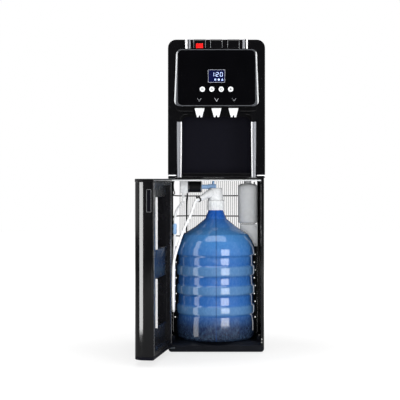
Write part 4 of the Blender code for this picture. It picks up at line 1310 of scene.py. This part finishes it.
# A white plug-and-socket joins the upper leads under the deck.
bm = bmesh.new()
block(bm, (0.1335, 0.1455), (0.1260, 0.1400), (0.5330, 0.5450))
block(bm, (0.1350, 0.1440), (0.1275, 0.1385), (0.5270, 0.5335))
add_piece("lead_connector", bm, white_abs, "cabinet", bevel=0.0008)

# The filter canister and the terminal box are pale grey mouldings on the bay's right side. The
# canister screws up into its neck, and the box has a lid on four screws.

# Pale grey polypropylene with a soft sheen and 10 mm flow marks.
grey_pp, tree, shader, where = start_material("pale_grey_polypropylene", ior=1.49)
flow = add_node(tree, "ShaderNodeTexNoise", {"Scale": 1 / 0.010, "Detail": 3.0}, {"Vector": where})
add_node(
    tree, "ShaderNodeMix", {6: linear("#d2d4d6"), 7: linear("#e4e6e7")}, {0: flow.outputs[0]},
    {2: shader.inputs["Base Color"]}, data_type="RGBA",
)
add_node(
    tree, "ShaderNodeMapRange", {"To Min": 0.30, "To Max": 0.46}, {"Value": flow.outputs[0]},
    {0: shader.inputs["Roughness"]},
)
add_node(
    tree, "ShaderNodeBump", {"Distance": 0.0001, "Strength": 1.0}, {"Height": flow.outputs[0]},
    {0: shader.inputs["Normal"]},
)
dress(grey_pp, "terminal_box", bevel=0.0020, segments=3)
low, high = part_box("filter_canister")
centre = ((low[0] + high[0]) / 2, (low[1] + high[1]) / 2)
CAN_R = (high[0] - low[0]) / 2
neck = 0.0120
line = [(0.0, low[2]), (CAN_R - 0.0060, low[2]), (CAN_R, low[2] + 0.0060), (CAN_R, 0.4470)]
line += [(CAN_R - 0.0012, 0.4482), (CAN_R - 0.0012, 0.4500), (CAN_R, 0.4512), (CAN_R, high[2] - 0.0180)]
line += [(CAN_R - 0.0070, high[2] - 0.0105), (neck, high[2] - 0.0095), (neck, high[2]), (0.0, high[2])]
bm = bmesh.new()
turn(bm, soften(line, 0.004, 3), (*centre, 0.0), "Z", 64)
canister = add_piece("ribbed_filter_canister", bm, grey_pp, "cabinet", sharp=50)
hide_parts("filter_canister")
low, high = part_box("terminal_box")
bm = bmesh.new()
lid = (low[1] - 0.0020, low[1] + 0.0004)
block(bm, (low[0] + 0.0030, high[0] - 0.0030), lid, (low[2] + 0.0030, high[2] - 0.0030))
add_piece("terminal_lid", bm, grey_pp, "cabinet", bevel=0.0012)
lid_screw = [(0.0, -0.0014), (0.0018, -0.0011), (0.0026, 0.0), (0.0, 0.0)]
bm = bmesh.new()
for x in (low[0] + 0.008, high[0] - 0.008):
    for z in (low[2] + 0.008, high[2] - 0.008):
        turn(bm, lid_screw, (x, lid[0] + 0.0002, z), "Y", 16)
add_piece("terminal_screws", bm, zinc, "cabinet")

# The condenser hangs on the back: a black steel serpentine between two layers of upright
# spring-steel wires, spot-welded to it and painted grey, 7 mm apart.

# Dipped grey paint on wire: matt, slightly uneven in cover.
wire_paint, tree, shader, where = start_material("grey_dipped_wire", ior=1.50)
cover = add_node(tree, "ShaderNodeTexNoise", {"Scale": 1 / 0.012, "Detail": 3.0}, {"Vector": where})
add_node(
    tree, "ShaderNodeMix", {6: linear("#5d6063"), 7: linear("#85888b")}, {0: cover.outputs[0]},
    {2: shader.inputs["Base Color"]}, data_type="RGBA",
)
add_node(
    tree, "ShaderNodeMapRange", {"To Min": 0.35, "To Max": 0.55}, {"Value": cover.outputs[0]},
    {0: shader.inputs["Roughness"]},
)
add_node(
    tree, "ShaderNodeBump", {"Distance": 0.0001, "Strength": 1.0}, {"Height": cover.outputs[0]},
    {0: shader.inputs["Normal"]},
)
low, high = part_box("condenser")
TUBE_R, WIRE_R, PITCH, RUNS, WIRES = 0.0022, 0.0010, 0.072, 10, 36
REACH = 0.130
middle_y = (low[1] + high[1]) / 2 + 0.0003
runs = [0.160 + PITCH * k for k in range(RUNS)]
route = []
for k, z in enumerate(runs):
    side = 1 if k % 2 == 0 else -1
    route += [Vector((-side * REACH, middle_y, z)), Vector((side * REACH, middle_y, z))]
    if k < RUNS - 1:
        for x_out, up in ((0.145, 0.010), (0.150, PITCH / 2), (0.145, PITCH - 0.010)):
            route.append(Vector((side * x_out, middle_y, z + up)))
bm = sweep(smooth_path(route, 5), TUBE_R, 10)
add_piece("serpentine_tube", bm, powder, "cabinet", sharp=80)
bm = bmesh.new()
for i in range(WIRES):
    x = -0.126 + 0.0072 * i
    for y in (middle_y - TUBE_R - 0.6 * WIRE_R, middle_y + TUBE_R + 0.6 * WIRE_R):
        wire = [(0.0, low[2]), (WIRE_R, low[2]), (WIRE_R, high[2]), (0.0, high[2])]
        turn(bm, wire, (x, y, 0.0), "Z", 8)
for z in (low[2] + 0.004, high[2] - 0.004):
    block(bm, (-0.155, 0.155), (middle_y - 0.0022, middle_y + 0.0014), (z - 0.0020, z + 0.0020))
wires = add_piece("condenser_wires", bm, wire_paint, "cabinet")
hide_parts("condenser")

# Above the deck are the hermetic compressor, painted black, the stainless hot tank, and the
# cold tank in its foam jacket.
dress(powder, "compressor", bevel=0.0008)
dress(stainless, "hot_tank", bevel=0.0006)
# Expanded polystyrene: white, matt, with 4 mm beads.
foam, tree, shader, where = start_material("expanded_polystyrene", ior=1.30)
bead = add_node(tree, "ShaderNodeTexVoronoi", {"Scale": 1 / 0.004}, {"Vector": where})
add_node(
    tree, "ShaderNodeMix", {6: linear("#f3f3f0"), 7: linear("#d8d8d4")}, {0: bead.outputs[0]},
    {2: shader.inputs["Base Color"]}, data_type="RGBA",
)
add_node(
    tree, "ShaderNodeMapRange", {"To Min": 0.75, "To Max": 0.90}, {"Value": bead.outputs[0]},
    {0: shader.inputs["Roughness"]},
)
add_node(
    tree, "ShaderNodeBump", {"Distance": 0.0006, "Strength": 1.0}, {"Height": bead.outputs[0]},
    {0: shader.inputs["Normal"]},
)
dress(foam, "cold_tank", bevel=0.0008)

# Two rocker switches, hot red and cold white, snap into the rear cover, and a rubber bush
# lines the mains cord's hole.
dress(acetal, "hot_switch", bevel=0.0008, segments=3)
dress(white_abs, "cold_switch", bevel=0.0008, segments=3)
dress(nitrile, "cord_bush", bevel=0.0004)
SWITCH_Z = 0.940
FRAME = 0.0012
y = (back_face, back_face + 0.0014)
bm = bmesh.new()
for x in (-0.060, -0.020):
    for dx in (-0.0110, 0.0110):
        block(bm, (x + dx - FRAME, x + dx + FRAME), y, (0.9285, 0.9515))
    for dz in (-0.0103, 0.0103):
        block(bm, (x - 0.0098, x + 0.0098), y, (SWITCH_Z + dz - FRAME, SWITCH_Z + dz + FRAME))
add_piece("switch_bezels", bm, etched_abs, "cabinet", bevel=0.0003)

# The studio: a pale floor, a white surround that is bright to the sides and dim in front and
# behind, soft boxes above and at one side, and four fills that leave no reflection.


def soft_box(name, spot, target, size, watts):
    """A rectangular light, hidden from the camera itself."""
    data = bpy.data.lights.new(name, "AREA")
    data.shape = "RECTANGLE"
    data.size, data.size_y = size
    data.energy = watts
    lamp = add_object(name, data)
    lamp.location = spot
    lamp.rotation_euler = (Vector(target) - Vector(spot)).to_track_quat("-Z", "Y").to_euler()
    lamp.visible_camera = False
    return lamp


bpy.context.scene.view_settings.view_transform = "Standard"
right_fill = soft_box("right_fill", (1.55, -3.10, 0.75), (0, 0, 0.45), (1.20, 1.7), 70)
left_fill = soft_box("left_fill", (-2.60, -1.75, 0.70), (0, 0, 0.45), (0.45, 1.9), 40)
soft_box("top_box", (0.0, -0.4, 3.4), (0, 0, 0), (3.0, 3.0), 90)
rear_fill = soft_box("rear_fill", (0.5, 3.2, 1.3), (0, 0, 0.5), (2.4, 2.0), 55)
soft_box("side_fill_box", (3.0, 0.8, 1.0), (0, 0, 0.5), (0.8, 2.0), 30)
front_fill = soft_box("front_fill", (-0.05, -4.0, 0.60), (0, 0, 0.5), (1.2, 1.2), 110)
for lamp in (right_fill, left_fill, rear_fill, front_fill):
    lamp.visible_glossy = False

# Four reflection cards stand close to the object. They add sheen only, each to one piece: a
# tall window on the bottle's front, a slimmer one at its left, its right rim and the door's
# bull nose.
for name, subject, spot, target, size, watts in (
    ("front_window_card", bottle, (0.392, -0.837, 0.275), (0.027, -0.125, 0.275), (0.38, 0.55), 4.6),
    ("left_window_card", bottle, (-0.134, -0.145, 0.250), (-0.068, -0.109, 0.250), (0.038, 0.46), 0.17),
    ("right_rim_card", bottle, (0.1437, -0.014, 0.240), (0.126, -0.038, 0.240), (0.006, 0.36), 0.010),
    ("door_edge_card", door_skin, (-0.860, -0.940, 0.290), (-0.235, -0.440, 0.290), (0.60, 0.60), 14.0),
):
    card = soft_box(name, spot, target, size, watts)
    card.visible_diffuse = False
    lit_by_card = bpy.data.collections.new(f"lit_by_{name}")
    lit_by_card.objects.link(subject)
    card.light_linking.receiver_collection = lit_by_card

world = bpy.data.worlds.new("white_surround")
world.use_nodes = True
surround = world.node_tree
surround.nodes.clear()
way = add_node(surround, "ShaderNodeTexCoord")
split = add_node(surround, "ShaderNodeSeparateXYZ", links={0: way.outputs["Generated"]})
sideways = add_node(
    surround, "ShaderNodeMath", links={0: split.outputs["X"], 1: split.outputs["X"]}, operation="MULTIPLY"
)
level = add_node(
    surround, "ShaderNodeMapRange", {"To Min": 0.05, "To Max": 0.55}, {"Value": sideways.outputs[0]}
)
felt = add_node(surround, "ShaderNodeBackground", {"Color": (1, 1, 1, 1)}, {"Strength": level.outputs[0]})
seen = add_node(surround, "ShaderNodeBackground", {"Color": (1, 1, 1, 1), "Strength": 1.0})
ray = add_node(surround, "ShaderNodeLightPath")
both = add_node(
    surround,
    "ShaderNodeMixShader",
    links={0: ray.outputs["Is Camera Ray"], 1: felt.outputs[0], 2: seen.outputs[0]},
)
add_node(surround, "ShaderNodeOutputWorld", links={"Surface": both.outputs[0]})
bpy.context.scene.world = world

# Rolled floor paint: pale and matt, lifted to white away from the object.
floor_paint, tree, shader, where = start_material("pale_floor_paint", specular_ior_level=0.1)
roller = add_node(tree, "ShaderNodeTexNoise", {"Scale": 1 / 0.300, "Detail": 2.0}, {"Vector": where})
add_node(
    tree, "ShaderNodeMix", {6: linear("#808080"), 7: linear("#888888")}, {0: roller.outputs[0]},
    {2: shader.inputs["Base Color"]}, data_type="RGBA",
)
shader.inputs["Roughness"].default_value = 0.8
shader.inputs["Emission Color"].default_value = (1, 1, 1, 1)
away = add_node(tree, "ShaderNodeVectorMath", links={0: where}, operation="LENGTH")
lift = add_node(
    tree,
    "ShaderNodeMapRange",
    {"From Min": 0.30, "From Max": 1.30, "To Min": 0.70, "To Max": 1.0},
    {"Value": away.outputs["Value"]},
)
eye = add_node(tree, "ShaderNodeLightPath")
add_node(
    tree,
    "ShaderNodeMath",
    links={0: lift.outputs[0], 1: eye.outputs["Is Camera Ray"]},
    feeds={0: shader.inputs["Emission Strength"]},
    operation="MULTIPLY",
)
bm = bmesh.new()
bmesh.ops.create_circle(bm, cap_ends=True, segments=96, radius=9.0)
floor_mesh = bpy.data.meshes.new("studio_floor")
bm.to_mesh(floor_mesh)
bm.free()
floor_mesh.materials.append(floor_paint)
add_object("studio_floor", floor_mesh)
